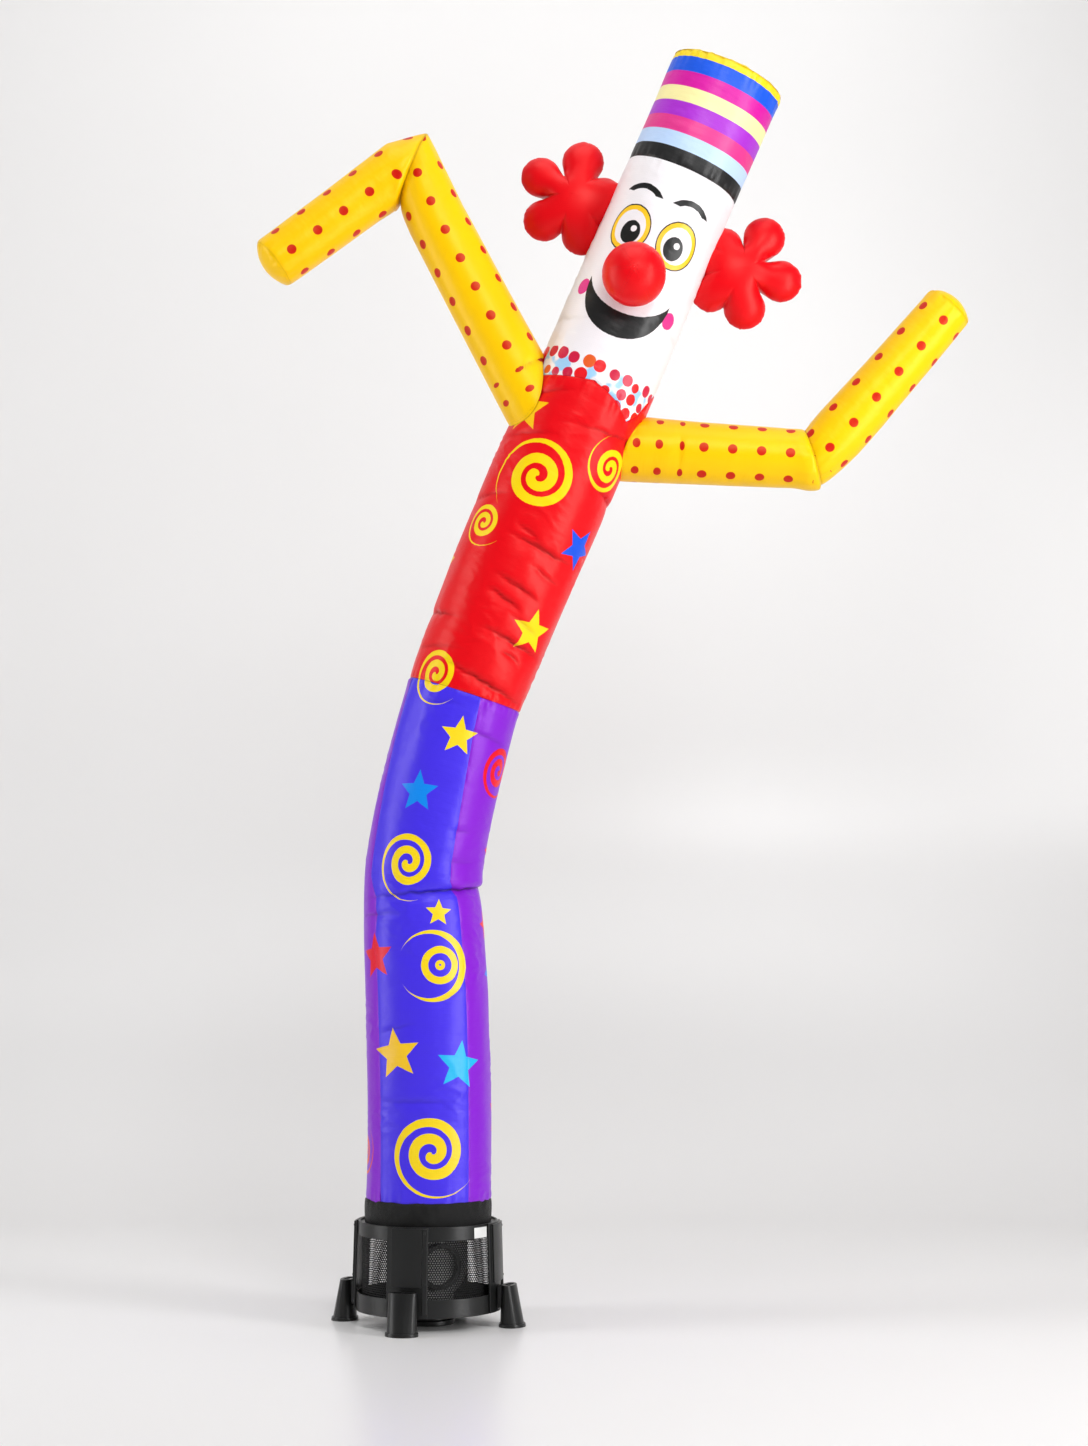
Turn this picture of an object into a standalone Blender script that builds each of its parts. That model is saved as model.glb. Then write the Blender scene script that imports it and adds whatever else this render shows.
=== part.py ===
"""An inflatable air dancer, about 3.1 m tall, standing on its floor blower.

Metres, +Z up. The floor is z = 0, the origin is under the middle of the blower, and -Y is the front.
The figure is a bent tube of thin cloth that leans to +X. The tube, its sleeves, hair puffs and nose are
shells of cloth in the shape that the air holds them in, each cut piece a solid of its own.
"""

import math

import bmesh
import bpy
from mathutils import Matrix, Vector

# ---- cloth and seams ----
CLOTH = 0.0015  # ripstop with its coating, built a little heavy
WEBBING = 0.0020  # the cuff at the tube's foot
SEAM_GAP = 0.0004
PANEL_GAP = 0.0009  # lengthwise, at the outer face; the inner edges of the panels lean together
NECK_GAP = 0.0008
WELD = 0.00001

# ---- the body tube ----
# Each row: height and x of a ring's middle, and the outer radius of the cloth there.
BODY_STATIONS = (
    (0.275, 0.000, 0.1510),
    (0.530, 0.001, 0.1510),
    (0.780, -0.003, 0.1500),
    (0.927, -0.012, 0.1475),
    (0.985, -0.015, 0.1450),
    (1.052, -0.0165, 0.1415),
    (1.110, -0.0115, 0.1420),
    (1.220, 0.008, 0.1425),
    (1.368, 0.043, 0.1425),
    (1.515, 0.083, 0.1420),
    (1.600, 0.113, 0.1455),
    (1.740, 0.168, 0.1500),
    (1.886, 0.228, 0.1530),
    (2.035, 0.292, 0.1535),
    (2.180, 0.356, 0.1510),
    (2.330, 0.421, 0.1465),
    (2.500, 0.494, 0.1445),
    (2.805, 0.625, 0.1440),
    (3.0715, 0.740, 0.1435),
)
FOOT_HEIGHT = BODY_STATIONS[0][0]
BELT_HEIGHT = 1.527
HAT_HEIGHT = 2.805
CROWN_HEIGHT = BODY_STATIONS[-1][0]
AROUND = 24  # facets round the body tube
ROW_STEP = 0.070

# The main folds, each along a ring. Angles are in degrees from the front, positive towards +X.
# Each row: height, angle, reach to each side in degrees, depth, and half the fold's width.
FOLDS = (
    (0.545, -10, 50, 0.0030, 0.030),
    (0.995, -50, 45, 0.0030, 0.024),
    (1.052, 82, 92, 0.0110, 0.042),  # the kink at the knee
    (1.440, 40, 40, 0.0030, 0.022),
    (1.560, 20, 62, 0.0060, 0.026),
    (1.668, 38, 62, 0.0070, 0.030),
    (1.756, -2, 40, 0.0045, 0.024),
    (1.790, 6, 44, 0.0050, 0.024),
    (1.890, 28, 56, 0.0055, 0.028),
    (2.060, 75, 60, 0.0040, 0.026),
)

# The neck seam. The shirt runs up to the arms, and the collar hangs over it in front with one low point.
# Each row: angle, height.
NECK_LINE = (
    (-180, 2.335),
    (-75, 2.332),
    (-60, 2.256),
    (-30, 2.269),
    (0, 2.283),
    (15, 2.275),
    (30, 2.262),
    (50, 2.234),
    (60, 2.254),
    (75, 2.306),
    (90, 2.328),
    (180, 2.335),
)
NECK_TOP = NECK_LINE[0][1]
SHIRT_LEVEL = 2.100  # rings are level up to here, and follow the neck seam above
HEAD_LEVEL = 2.450  # and are level again from here

# The trousers are four equal panels. Their seams turn with the tube, and jump at the knee.
# Each row: height, and the angle of the seam on the front panel's right.
PANEL_SEAM = ((0.275, 42.5), (1.030, 40.0), (1.074, 30.0), (1.220, 29.0), (1.527, 19.0))
PANEL_NAMES = ("trouser_panel_front", "trouser_panel_right", "trouser_panel_back", "trouser_panel_left")

# ---- the crown and the ends of the sleeves ----
CROWN_RISE = 0.018
HAND_RISE = 0.026
DOME_STEPS = 3

# ---- the sleeves ----
# Each ring: its middle, the direction of its broad radius in the XZ plane (degrees), and its two radii.
# Each row: x, y, z, turn, broad radius, deep radius. The third ring is the elbow.
LEFT_SLEEVE = (
    (0.166, -0.025, 2.418, 27.8, 0.0775, 0.0775),
    (0.016, -0.018, 2.704, 27.8, 0.0745, 0.0745),
    (-0.042, -0.010, 2.8335, 68.0, 0.0987, 0.0700),
    (-0.100, -0.014, 2.8120, 96.0, 0.0845, 0.0705),
    (-0.165, -0.018, 2.7620, 125.9, 0.0700, 0.0700),
    (-0.384, -0.045, 2.5900, 129.0, 0.0662, 0.0662),
)
RIGHT_SLEEVE = (
    (0.560, 0.010, 2.1345, 86.3, 0.0800, 0.0800),
    (0.860, 0.006, 2.1150, 86.3, 0.0740, 0.0740),
    (0.9475, 0.002, 2.1105, 107.0, 0.0769, 0.0690),
    (1.010, 0.000, 2.1760, 134.0, 0.0700, 0.0690),
    (1.070, 0.000, 2.2420, 139.0, 0.0690, 0.0690),
    (1.286, 0.000, 2.4905, 137.8, 0.0624, 0.0624),
)
ELBOW_ROW = 2
SHOULDER_SUNK = 0.004  # the sleeve's root reaches into the body, which then trims it
SLEEVE_AROUND = 18
SLEEVE_STEP = 0.060
ELBOW_PINCH = 0.010  # how far the fold draws the cloth in
ELBOW_REACH = 0.045  # along the sleeve on each side of the fold

# ---- hair puffs and nose ----
# A puff is two lobed faces sewn at the rim: lobes as angle in the XZ plane, reach and radius.
LEFT_PUFF_MIDDLE = (0.351, 0.020, 2.766)
LEFT_PUFF_LOBES = (
    (73, 0.097, 0.052),
    (144, 0.094, 0.050),
    (218, 0.087, 0.052),
    (285, 0.094, 0.050),
    (3, 0.080, 0.050),
    (338, 0.072, 0.052),
)
RIGHT_PUFF_MIDDLE = (0.777, 0.020, 2.583)
RIGHT_PUFF_LOBES = (
    (58, 0.100, 0.052),
    (346, 0.097, 0.052),
    (272, 0.092, 0.052),
    (214, 0.098, 0.046),
    (126, 0.080, 0.046),
    (164, 0.070, 0.050),
)
PUFF_CORE = 0.062
PUFF_WAIST = 0.035  # radius of the cloth's swelling half way out to each lobe
PUFF_AROUND = 44
PUFF_RINGS = 5
NOSE_RADIUS = 0.0775
NOSE_HEIGHT = 2.527
NOSE_ANGLE = -2.0
NOSE_SUNK = 0.020  # how deep the ball's far side would reach into the head

# ---- the blower base ----
QUARTER_TURN = 90
FIRST_FOOT = -14.6  # degrees from the front, positive towards +X
DRUM_TOP_RADIUS = 0.1690
DRUM_FOOT_RADIUS = 0.1750
DRUM_WALL = 0.0040
DRUM_LOW, WINDOW_LOW, WINDOW_HIGH, DRUM_HIGH = 0.035, 0.079, 0.216, 0.249
DRUM_AROUND = 48
COLLAR_RADIUS = 0.1475  # the outlet collar, inside the tube's foot
COLLAR_WALL = 0.0035
COLLAR_HIGH = 0.290
DECK_LOW, DECK_HIGH = 0.240, 0.244
PAN_LOW, PAN_HIGH = 0.044, 0.048
CUFF_LOW, CUFF_HIGH = 0.2450, 0.3030
PILLAR_WIDE, PILLAR_THICK, PILLAR_LOW, PILLAR_GAP = 0.102, 0.0045, 0.0360, 0.0009
PANEL_WIDE, PANEL_THICK, PANEL_LOW, PANEL_HIGH = 0.074, 0.0050, 0.108, 0.246
RIB_WIDE, RIB_THICK, RIB_ASIDE = 0.011, 0.0050, 0.0435
FOOT_TALL = 0.100
FOOT_LOW = {"reach": 0.2125, "deep": 0.0290, "wide": 0.0370}
FOOT_TOP = {"reach": 0.2045, "deep": 0.0165, "wide": 0.0345}
FOOT_AROUND = 20
FLANGE_OUT, FLANGE_TALL = 0.0035, 0.008
POCKET_DEEP, POCKET_WIDE, POCKET_LONG, POCKET_ASIDE = 0.012, 0.016, 0.021, 0.0140
GUSSET_FACE, GUSSET_WIDE, GUSSET_LOW, GUSSET_HIGH = 0.1808, 0.040, 0.046, 0.097
GUARD_RADIUS, GUARD_THICK, GUARD_SPAN = 0.1600, 0.0012, 88.0
HUB_WIDE, HUB_NARROW, HUB_STEP = 0.066, 0.056, 0.012
FAN_FACING = 28.5  # the fan's inlet looks out of the window right of the front pillar
FAN_MIDDLE, FAN_RADIUS, FAN_WIDE = 0.142, 0.078, 0.110
FAN_OUTLET_TOP = 0.238
OUTLET_SHARE, STAND_SHARE = 0.96, 0.90  # of the housing's width
STAND_WIDE = 0.090
INLET_OUTER, INLET_INNER, INLET_DEEP = 0.055, 0.044, 0.016
MOTOR_RADIUS, MOTOR_LONG = 0.050, 0.048
LABEL_FACING, LABEL_WIDE, LABEL_LOW, LABEL_HIGH, LABEL_THICK = 50.0, 0.044, 0.2180, 0.2430, 0.0008
REST_GAP = 0.0003

# ---- colours: linear red, green, blue, then roughness ----
RED = (0.72, 0.008, 0.015, 0.42)
BLUE = (0.065, 0.022, 0.66, 0.40)
PURPLE = (0.20, 0.012, 0.56, 0.40)
YELLOW = (1.00, 0.56, 0.000, 0.42)
WHITE = (0.94, 0.91, 0.94, 0.45)
STRIPE = (0.55, 0.02, 0.42, 0.42)
BLACK_CLOTH = (0.030, 0.030, 0.030, 0.70)
BLACK_PLASTIC = (0.030, 0.031, 0.031, 0.48)
BLACK_WIRE = (0.012, 0.012, 0.012, 0.55)
LABEL_WHITE = (0.85, 0.85, 0.85, 0.50)


# ---- scene ----
def clear_scene():
    for old in list(bpy.data.objects):
        bpy.data.objects.remove(old, do_unlink=True)


def collection(name):
    found = bpy.data.collections.new(name)
    bpy.context.scene.collection.children.link(found)
    return found


def finish(name, mesh, look, group, smooth=True):
    """An object of this name for a mesh, with a Principled material of its own."""
    material = bpy.data.materials.new(name)
    material.use_nodes = True
    shader = material.node_tree.nodes["Principled BSDF"]
    shader.inputs["Base Color"].default_value = (*look[:3], 1.0)
    shader.inputs["Roughness"].default_value = look[3]
    shader.inputs["Metallic"].default_value = 0.0
    mesh.materials.append(material)
    if smooth:
        mesh.shade_smooth()
        mesh.set_sharp_from_angle(angle=math.radians(35))
    made = bpy.data.objects.new(name, mesh)
    group.objects.link(made)
    return made


def to_mesh(name, bm):
    mesh = bpy.data.meshes.new(name)
    bm.to_mesh(mesh)
    bm.free()
    return mesh


def thicken(made, thickness):
    """Gives an open surface its cloth, inwards from the face."""
    solidify = made.modifiers.new("Cloth", "SOLIDIFY")
    solidify.thickness = thickness
    solidify.offset = -1.0
    solidify.use_rim = True
    return made


def combine(made, tool, operation):
    """Joins or cuts with another object, which stays as a guide."""
    tool.hide_render = True
    tool.display_type = "WIRE"
    step = made.modifiers.new(operation.title(), "BOOLEAN")
    step.object = tool
    step.operation = operation
    step.solver = "EXACT"


# ---- smooth values between the rows of a table ----
def slope(table, row, column):
    low, high = max(0, row - 1), min(len(table) - 1, row + 1)
    return (table[high][column] - table[low][column]) / (table[high][0] - table[low][0])


def smooth_row(table, at):
    """The other columns of a table at a value of its first, on a smooth curve through the rows."""
    at = min(max(at, table[0][0]), table[-1][0])
    row = max(k for k in range(len(table) - 1) if table[k][0] <= at)
    low, high = table[row], table[row + 1]
    span = high[0] - low[0]
    t = (at - low[0]) / span
    found = []
    for column in range(1, len(low)):
        start, end = slope(table, row, column) * span, slope(table, row + 1, column) * span
        found.append(
            (2 * t**3 - 3 * t**2 + 1) * low[column]
            + (t**3 - 2 * t**2 + t) * start
            + (3 * t**2 - 2 * t**3) * high[column]
            + (t**3 - t**2) * end
        )
    return found


def straight_row(table, at):
    """The second column of a table at a value of its first, on straight lines between the rows."""
    at = min(max(at, table[0][0]), table[-1][0])
    row = max(k for k in range(len(table) - 1) if table[k][0] <= at)
    low, high = table[row], table[row + 1]
    return low[1] + (high[1] - low[1]) * (at - low[0]) / (high[0] - low[0])


# ---- the body tube's surface ----
def ring_at(height):
    """Middle, direction to +X in the ring's plane, direction up the tube, and radius."""
    across, radius = smooth_row(BODY_STATIONS, height)
    step = 0.001
    ahead = smooth_row(BODY_STATIONS, height + step)[0]
    behind = smooth_row(BODY_STATIONS, height - step)[0]
    rise = min(height + step, CROWN_HEIGHT) - max(height - step, FOOT_HEIGHT)
    along = Vector((ahead - behind, 0, rise)).normalized()
    side = Vector((along.z, 0, -along.x))
    return Vector((across, 0, height)), side, along, radius


def turned(angle, other):
    """The difference of two angles in degrees, from -180 to 180."""
    return (angle - other + 180) % 360 - 180


def fold_depth(height, angle):
    """How far the folds draw the cloth in at this place."""
    deep = 0.0
    for fold_height, fold_angle, reach, depth, half_width in FOLDS:
        near = abs(height - fold_height) / half_width
        off = abs(turned(angle, fold_angle)) / reach
        if near < 1 and off < 1:
            deep += depth * (1 - near) ** 2 * (0.5 + 0.5 * math.cos(math.pi * off))
    return deep


def on_body(height, angle, out=0.0):
    middle, side, _, radius = ring_at(height)
    radius += out - fold_depth(height, angle)
    turn = math.radians(angle)
    return middle + side * (radius * math.sin(turn)) + Vector((0, -radius * math.cos(turn), 0))


def outside_body(point):
    """How far a point lies outside the smooth body tube."""
    height = point.z
    for _ in range(6):
        middle, _, along, radius = ring_at(height)
        height += (point - middle).dot(along) * along.z
    middle, _, along, radius = ring_at(height)
    off = point - middle
    return (off - along * off.dot(along)).length - radius


def rows_between(low, high, step=ROW_STEP):
    """Heights of rings from low to high: even steps, and three for each fold on the way."""
    count = max(1, round((high - low) / step))
    heights = [low + (high - low) * k / count for k in range(count + 1)]
    marks = []
    for fold_height, _, _, _, half_width in FOLDS:
        marks += [fold_height + half_width * share for share in (-0.8, 0, 0.8)]
    marks = [mark for mark in marks if low + step / 5 < mark < high - step / 5]
    kept = [h for h in heights[1:-1] if all(abs(h - mark) > step / 3 for mark in marks)]
    chosen = []
    for height in sorted(kept + marks):
        if not chosen or height - chosen[-1] > step / 12:
            chosen.append(height)
    return [low, *chosen, high]


def cloth_grid(name, place, columns, rows, closed, look, group, thickness=CLOTH):
    """A flat grid of cloth laid where place(share across, row value) says, and thickened."""
    bm = bmesh.new()
    bmesh.ops.create_grid(bm, x_segments=columns, y_segments=len(rows) - 1, size=0.5)
    for vert in bm.verts:
        share = vert.co.x + 0.5
        row = rows[round((vert.co.y + 0.5) * (len(rows) - 1))]
        vert.co = place(share, row)
    if closed:
        bmesh.ops.remove_doubles(bm, verts=bm.verts, dist=WELD)
    return thicken(finish(name, to_mesh(name, bm), look, group), thickness)


def round_body(share):
    """Degrees from the front for a share of the way round, starting at the back seam."""
    return 360 * share - 180


# ---- cloth pieces ----
def trousers(group):
    """Four panels, each a quarter of the way round."""
    rows = rows_between(FOOT_HEIGHT, BELT_HEIGHT - SEAM_GAP)
    for number, name in enumerate(PANEL_NAMES):

        def place(share, height, number=number):
            first = straight_row(PANEL_SEAM, height) + QUARTER_TURN * (number - 1)
            trim = math.degrees(PANEL_GAP / 2 / 0.150)
            return on_body(height, first + trim + (QUARTER_TURN - 2 * trim) * share)

        look = BLUE if number % 2 == 0 else PURPLE
        cloth_grid(name, place, AROUND // 4, rows, False, look, group)


def shirt(group):
    def place(share, height):
        angle = round_body(share)
        if height > SHIRT_LEVEL:
            top = straight_row(NECK_LINE, angle) - NECK_GAP
            height = SHIRT_LEVEL + (height - SHIRT_LEVEL) * (top - SHIRT_LEVEL) / (NECK_TOP - SHIRT_LEVEL)
        return on_body(height, angle)

    cloth_grid("shirt_tube", place, AROUND, rows_between(BELT_HEIGHT, NECK_TOP), True, RED, group)


def head(group):
    def place(share, height):
        angle = round_body(share)
        if height < HEAD_LEVEL:
            foot = straight_row(NECK_LINE, angle)
            height = HEAD_LEVEL - (HEAD_LEVEL - height) * (HEAD_LEVEL - foot) / (HEAD_LEVEL - NECK_TOP)
        return on_body(height, angle)

    rows = rows_between(NECK_TOP, HAT_HEIGHT - SEAM_GAP)
    cloth_grid("head_tube", place, AROUND, rows, True, WHITE, group)


def hat(group):
    def place(share, height):
        return on_body(height, round_body(share))

    rows = rows_between(HAT_HEIGHT, CROWN_HEIGHT)
    cloth_grid("hat_tube", place, AROUND, rows, True, STRIPE, group)


def dome(name, middle, along, radius, rise, look, group):
    """A cloth disc blown out to a low dome: a turned profile, set on the end of a tube."""
    bm = bmesh.new()
    sphere = (radius**2 + rise**2) / (2 * rise)
    widest = math.asin(radius / sphere)
    spine = []
    for step in range(DOME_STEPS + 1):
        lean = widest * step / DOME_STEPS
        spine.append(bm.verts.new((sphere * math.sin(lean), 0, rise - sphere * (1 - math.cos(lean)))))
    for first, second in zip(spine, spine[1:]):
        bm.edges.new((first, second))
    made = finish(name, to_mesh(name, bm), look, group)
    screw = made.modifiers.new("Turn", "SCREW")
    screw.steps = screw.render_steps = AROUND
    screw.use_merge_vertices = True
    screw.merge_threshold = WELD
    screw.use_smooth_shade = True
    made.location = middle + along * (CLOTH + SEAM_GAP)
    made.rotation_mode = "QUATERNION"
    made.rotation_quaternion = along.to_track_quat("Z", "Y")
    return thicken(made, CLOTH)


def crown(group):
    middle, _, along, radius = ring_at(CROWN_HEIGHT)
    dome("crown_disc", middle, along, radius, CROWN_RISE, YELLOW, group)


def cuff(group):
    """The webbing band that clamps the tube on the outlet collar."""

    def place(share, height):
        angle = round_body(share) + PANEL_SEAM[0][1]  # in line with the panels' own facets
        below = min(0.0, height - FOOT_HEIGHT)
        return on_body(height - below, angle, WEBBING + REST_GAP) + Vector((0, 0, below))

    rows = [CUFF_LOW, FOOT_HEIGHT, CUFF_HIGH]
    cloth_grid("base_cuff", place, AROUND, rows, True, BLACK_CLOTH, group, WEBBING)


# ---- sleeves ----
def body_form(group):
    """A solid of the upper body, a little larger, that trims what is sewn on it."""
    bm = bmesh.new()
    rows = rows_between(BELT_HEIGHT, CROWN_HEIGHT)
    bmesh.ops.create_grid(bm, x_segments=AROUND, y_segments=len(rows) - 1, size=0.5)
    for vert in bm.verts:
        row = rows[round((vert.co.y + 0.5) * (len(rows) - 1))]
        vert.co = on_body(row, round_body(vert.co.x + 0.5), 2 * REST_GAP)
    bmesh.ops.remove_doubles(bm, verts=bm.verts, dist=WELD)
    bmesh.ops.holes_fill(bm, edges=bm.edges, sides=AROUND)
    bmesh.ops.recalc_face_normals(bm, faces=bm.faces)
    return finish("body_form", to_mesh("body_form", bm), WHITE, group)


def sleeve_rings(table):
    """Each row as middle, broad and deep vectors, with the deep one square to the sleeve."""
    rings = []
    for number, (x, y, z, turn, radius, depth) in enumerate(table):
        low, high = table[max(0, number - 1)], table[min(len(table) - 1, number + 1)]
        along = (Vector(high[:3]) - Vector(low[:3])).normalized()
        across = Vector((math.cos(math.radians(turn)), 0, math.sin(math.radians(turn))))
        square = along - across * along.dot(across)
        deep = square.normalized().cross(across)
        if deep.y < 0:
            deep = -deep
        rings.append((Vector((x, y, z)), across * radius, deep * depth))
    return rings


def ring_point(ring, angle):
    middle, broad, deep = ring
    return middle + broad * math.cos(angle) + deep * math.sin(angle)


def shoulder_point(rings, angle):
    """Where the sleeve's cloth at this angle meets the body: the line from the elbow, carried on."""
    outer = ring_point(rings[0], angle)
    step = (outer - ring_point(rings[1], angle)).normalized()
    low, high = -0.10, 0.30
    for _ in range(40):
        half = (low + high) / 2
        if outside_body(outer + step * half) > -SHOULDER_SUNK:
            low = half
        else:
            high = half
    return outer + step * low


def sleeve_rows(rings):
    """Rows as (first ring, share of the way to the next): the first span starts at the shoulder."""
    rows = []
    for number in range(len(rings) - 1):
        span = (rings[number + 1][0] - rings[number][0]).length
        count = max(1, round(span / SLEEVE_STEP))
        rows += [(number, k / count) for k in range(count)]
    return [*rows, (len(rings) - 2, 1.0)]


def sleeve(name, table, body_solid, group):
    rings = sleeve_rings(table)
    elbow = rings[ELBOW_ROW][0]

    def place(share, row):
        number, way = row
        angle = 2 * math.pi * share
        if number == 0:
            start = shoulder_point(rings, angle)
        else:
            start = ring_point(rings[number], angle)
        end = ring_point(rings[number + 1], angle)
        point = start + (end - start) * way
        middle = rings[number][0].lerp(rings[number + 1][0], way)
        near = (middle - elbow).length / ELBOW_REACH
        if near < 1:
            inner = 0.5 - 0.5 * math.cos(angle)  # the fold is deepest on the inside of the bend
            point += (middle - point).normalized() * (ELBOW_PINCH * inner * (1 - near) ** 2)
        return point

    made = cloth_grid(name, place, SLEEVE_AROUND, sleeve_rows(rings), True, YELLOW, group)
    combine(made, body_solid, "DIFFERENCE")
    last, before = rings[-1], rings[-2]
    along = last[1].cross(last[2]).normalized()
    if along.dot(last[0] - before[0]) < 0:
        along = -along
    dome(name + "_end", last[0], along, last[1].length, HAND_RISE, YELLOW, group)


# ---- hair puffs and nose ----
def puff_outline(lobes, angle):
    """Reach of a lobed outline at an angle: a core disc joined to round lobes."""
    furthest = PUFF_CORE
    for lobe_angle, reach, radius in lobes:
        off = math.radians(turned(math.degrees(angle), lobe_angle))
        side = reach * math.sin(off)
        if abs(side) < radius and math.cos(off) > 0:
            furthest = max(furthest, reach * math.cos(off) + math.sqrt(radius**2 - side**2))
    return furthest


def puff_height(lobes, angle, far):
    """Half the puff's thickness at a place on its face: balls at the core and along the lobes, blended."""
    spot = Vector((far * math.cos(angle), far * math.sin(angle)))
    total = max(0.0, PUFF_CORE**2 - far**2)
    for lobe_angle, reach, radius in lobes:
        turn = math.radians(lobe_angle)
        middle = reach * Vector((math.cos(turn), math.sin(turn)))
        total += max(0.0, radius**2 - (spot - middle).length_squared)
        total += max(0.0, PUFF_WAIST**2 - (spot - middle / 2).length_squared)
    return math.sqrt(total)


def puff(name, middle, lobes, body_solid, group):
    """Two lobed faces sewn at the rim and blown up, open where the rim is sewn to the head."""
    bm = bmesh.new()
    bmesh.ops.create_uvsphere(bm, u_segments=PUFF_AROUND, v_segments=2 * PUFF_RINGS, radius=1.0)
    for vert in bm.verts:
        angle = math.atan2(vert.co.y, vert.co.x)
        far = math.hypot(vert.co.x, vert.co.y) * puff_outline(lobes, angle)
        lift = math.copysign(puff_height(lobes, angle, far), vert.co.z)
        vert.co = Vector((far * math.cos(angle), -lift, far * math.sin(angle)))
    bmesh.ops.translate(bm, verts=bm.verts, vec=middle)
    bmesh.ops.recalc_face_normals(bm, faces=bm.faces)
    made = thicken(finish(name, to_mesh(name, bm), RED, group), CLOTH)
    combine(made, body_solid, "DIFFERENCE")


def nose(body_solid, group):
    """A ball of cloth, open where it is sewn to the face."""
    spot = on_body(NOSE_HEIGHT, NOSE_ANGLE)
    middle, _, along, _ = ring_at(NOSE_HEIGHT)
    out = spot - middle
    out = (out - along * out.dot(along)).normalized()
    bm = bmesh.new()
    bmesh.ops.create_uvsphere(bm, u_segments=AROUND, v_segments=10, radius=NOSE_RADIUS)
    centre = spot + out * (NOSE_RADIUS - NOSE_SUNK)
    turn = out.to_track_quat("Z", "Y").to_matrix().to_4x4()
    bmesh.ops.transform(bm, matrix=Matrix.Translation(centre) @ turn, verts=bm.verts)
    made = thicken(finish("nose_ball", to_mesh("nose_ball", bm), RED, group), CLOTH)
    combine(made, body_solid, "DIFFERENCE")


# ---- the blower base ----
def turned_solid(name, profile, around, group, look=BLACK_PLASTIC):
    """A closed profile of (radius, height) turned about Z, listed down its outer side first."""
    bm = bmesh.new()
    corners = [bm.verts.new((radius, 0, height)) for radius, height in profile]
    for number, corner in enumerate(corners):
        bm.edges.new((corner, corners[(number + 1) % len(corners)]))
    made = finish(name, to_mesh(name, bm), look, group)
    screw = made.modifiers.new("Turn", "SCREW")
    screw.steps = screw.render_steps = around
    screw.use_merge_vertices = True
    screw.merge_threshold = WELD
    screw.use_smooth_shade = False
    return made


def facing_matrix(facing):
    """For a piece made at the front, at -Y: turns it to look outwards at this facing."""
    return Matrix.Rotation(math.radians(facing), 4, "Z")


def drum_radius(height):
    """The drum widens evenly towards its foot."""
    share = (height - DRUM_LOW) / (DRUM_HIGH - DRUM_LOW)
    return DRUM_FOOT_RADIUS + (DRUM_TOP_RADIUS - DRUM_FOOT_RADIUS) * share


def drum_rings(group):
    bore = COLLAR_RADIUS - COLLAR_WALL
    sill, head_line = drum_radius(WINDOW_LOW), drum_radius(WINDOW_HIGH)
    rim, skirt = drum_radius(DRUM_HIGH), drum_radius(DRUM_LOW)
    top_profile = (
        (rim, DRUM_HIGH),
        (head_line, WINDOW_HIGH),
        (head_line - DRUM_WALL, WINDOW_HIGH),
        (head_line - DRUM_WALL, DECK_LOW),
        (bore, DECK_LOW),
        (bore, COLLAR_HIGH),
        (COLLAR_RADIUS, COLLAR_HIGH),
        (COLLAR_RADIUS, DECK_HIGH),
        (rim - DRUM_WALL, DECK_HIGH),
        (rim - DRUM_WALL, DRUM_HIGH),
    )
    lower_profile = (
        (sill, WINDOW_LOW),
        (skirt, DRUM_LOW),
        (skirt - DRUM_WALL, DRUM_LOW),
        (skirt - DRUM_WALL, PAN_LOW),
        (0.0, PAN_LOW),
        (0.0, PAN_HIGH),
        (sill - DRUM_WALL, PAN_HIGH),
        (sill - DRUM_WALL, WINDOW_LOW),
    )
    turned_solid("base_top_ring", top_profile, DRUM_AROUND, group)
    turned_solid("base_lower_ring", lower_profile, DRUM_AROUND, group)
    hub_profile = (
        (HUB_NARROW, PAN_LOW - REST_GAP),
        (HUB_NARROW, HUB_STEP),
        (HUB_WIDE, HUB_STEP),
        (HUB_WIDE, 0.0),
        (0.0, 0.0),
        (0.0, PAN_LOW - REST_GAP),
    )
    turned_solid("base_hub", hub_profile, DRUM_AROUND // 2, group)


def bent_plate(name, inner_at, thick, wide, low, high, facing, group, look, aside=0.0, across=4):
    """A plate bent round the drum's axis. inner_at gives its inner radius at a height."""
    bm = bmesh.new()
    bmesh.ops.create_cube(bm, size=1.0)
    crosswise = [e for e in bm.edges if abs(e.verts[0].co.x - e.verts[1].co.x) > 0.5]
    bmesh.ops.subdivide_edges(bm, edges=crosswise, cuts=across - 1, use_grid_fill=True)
    for vert in bm.verts:
        height = low + (high - low) * (vert.co.z + 0.5)
        radius = inner_at(height) + (thick if vert.co.y < 0 else 0.0)
        turn = (vert.co.x * wide + aside) / inner_at(height)
        vert.co = (radius * math.sin(turn), -radius * math.cos(turn), height)
    bm.transform(facing_matrix(facing))
    return finish(name, to_mesh(name, bm), look, group, smooth=False)


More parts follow.
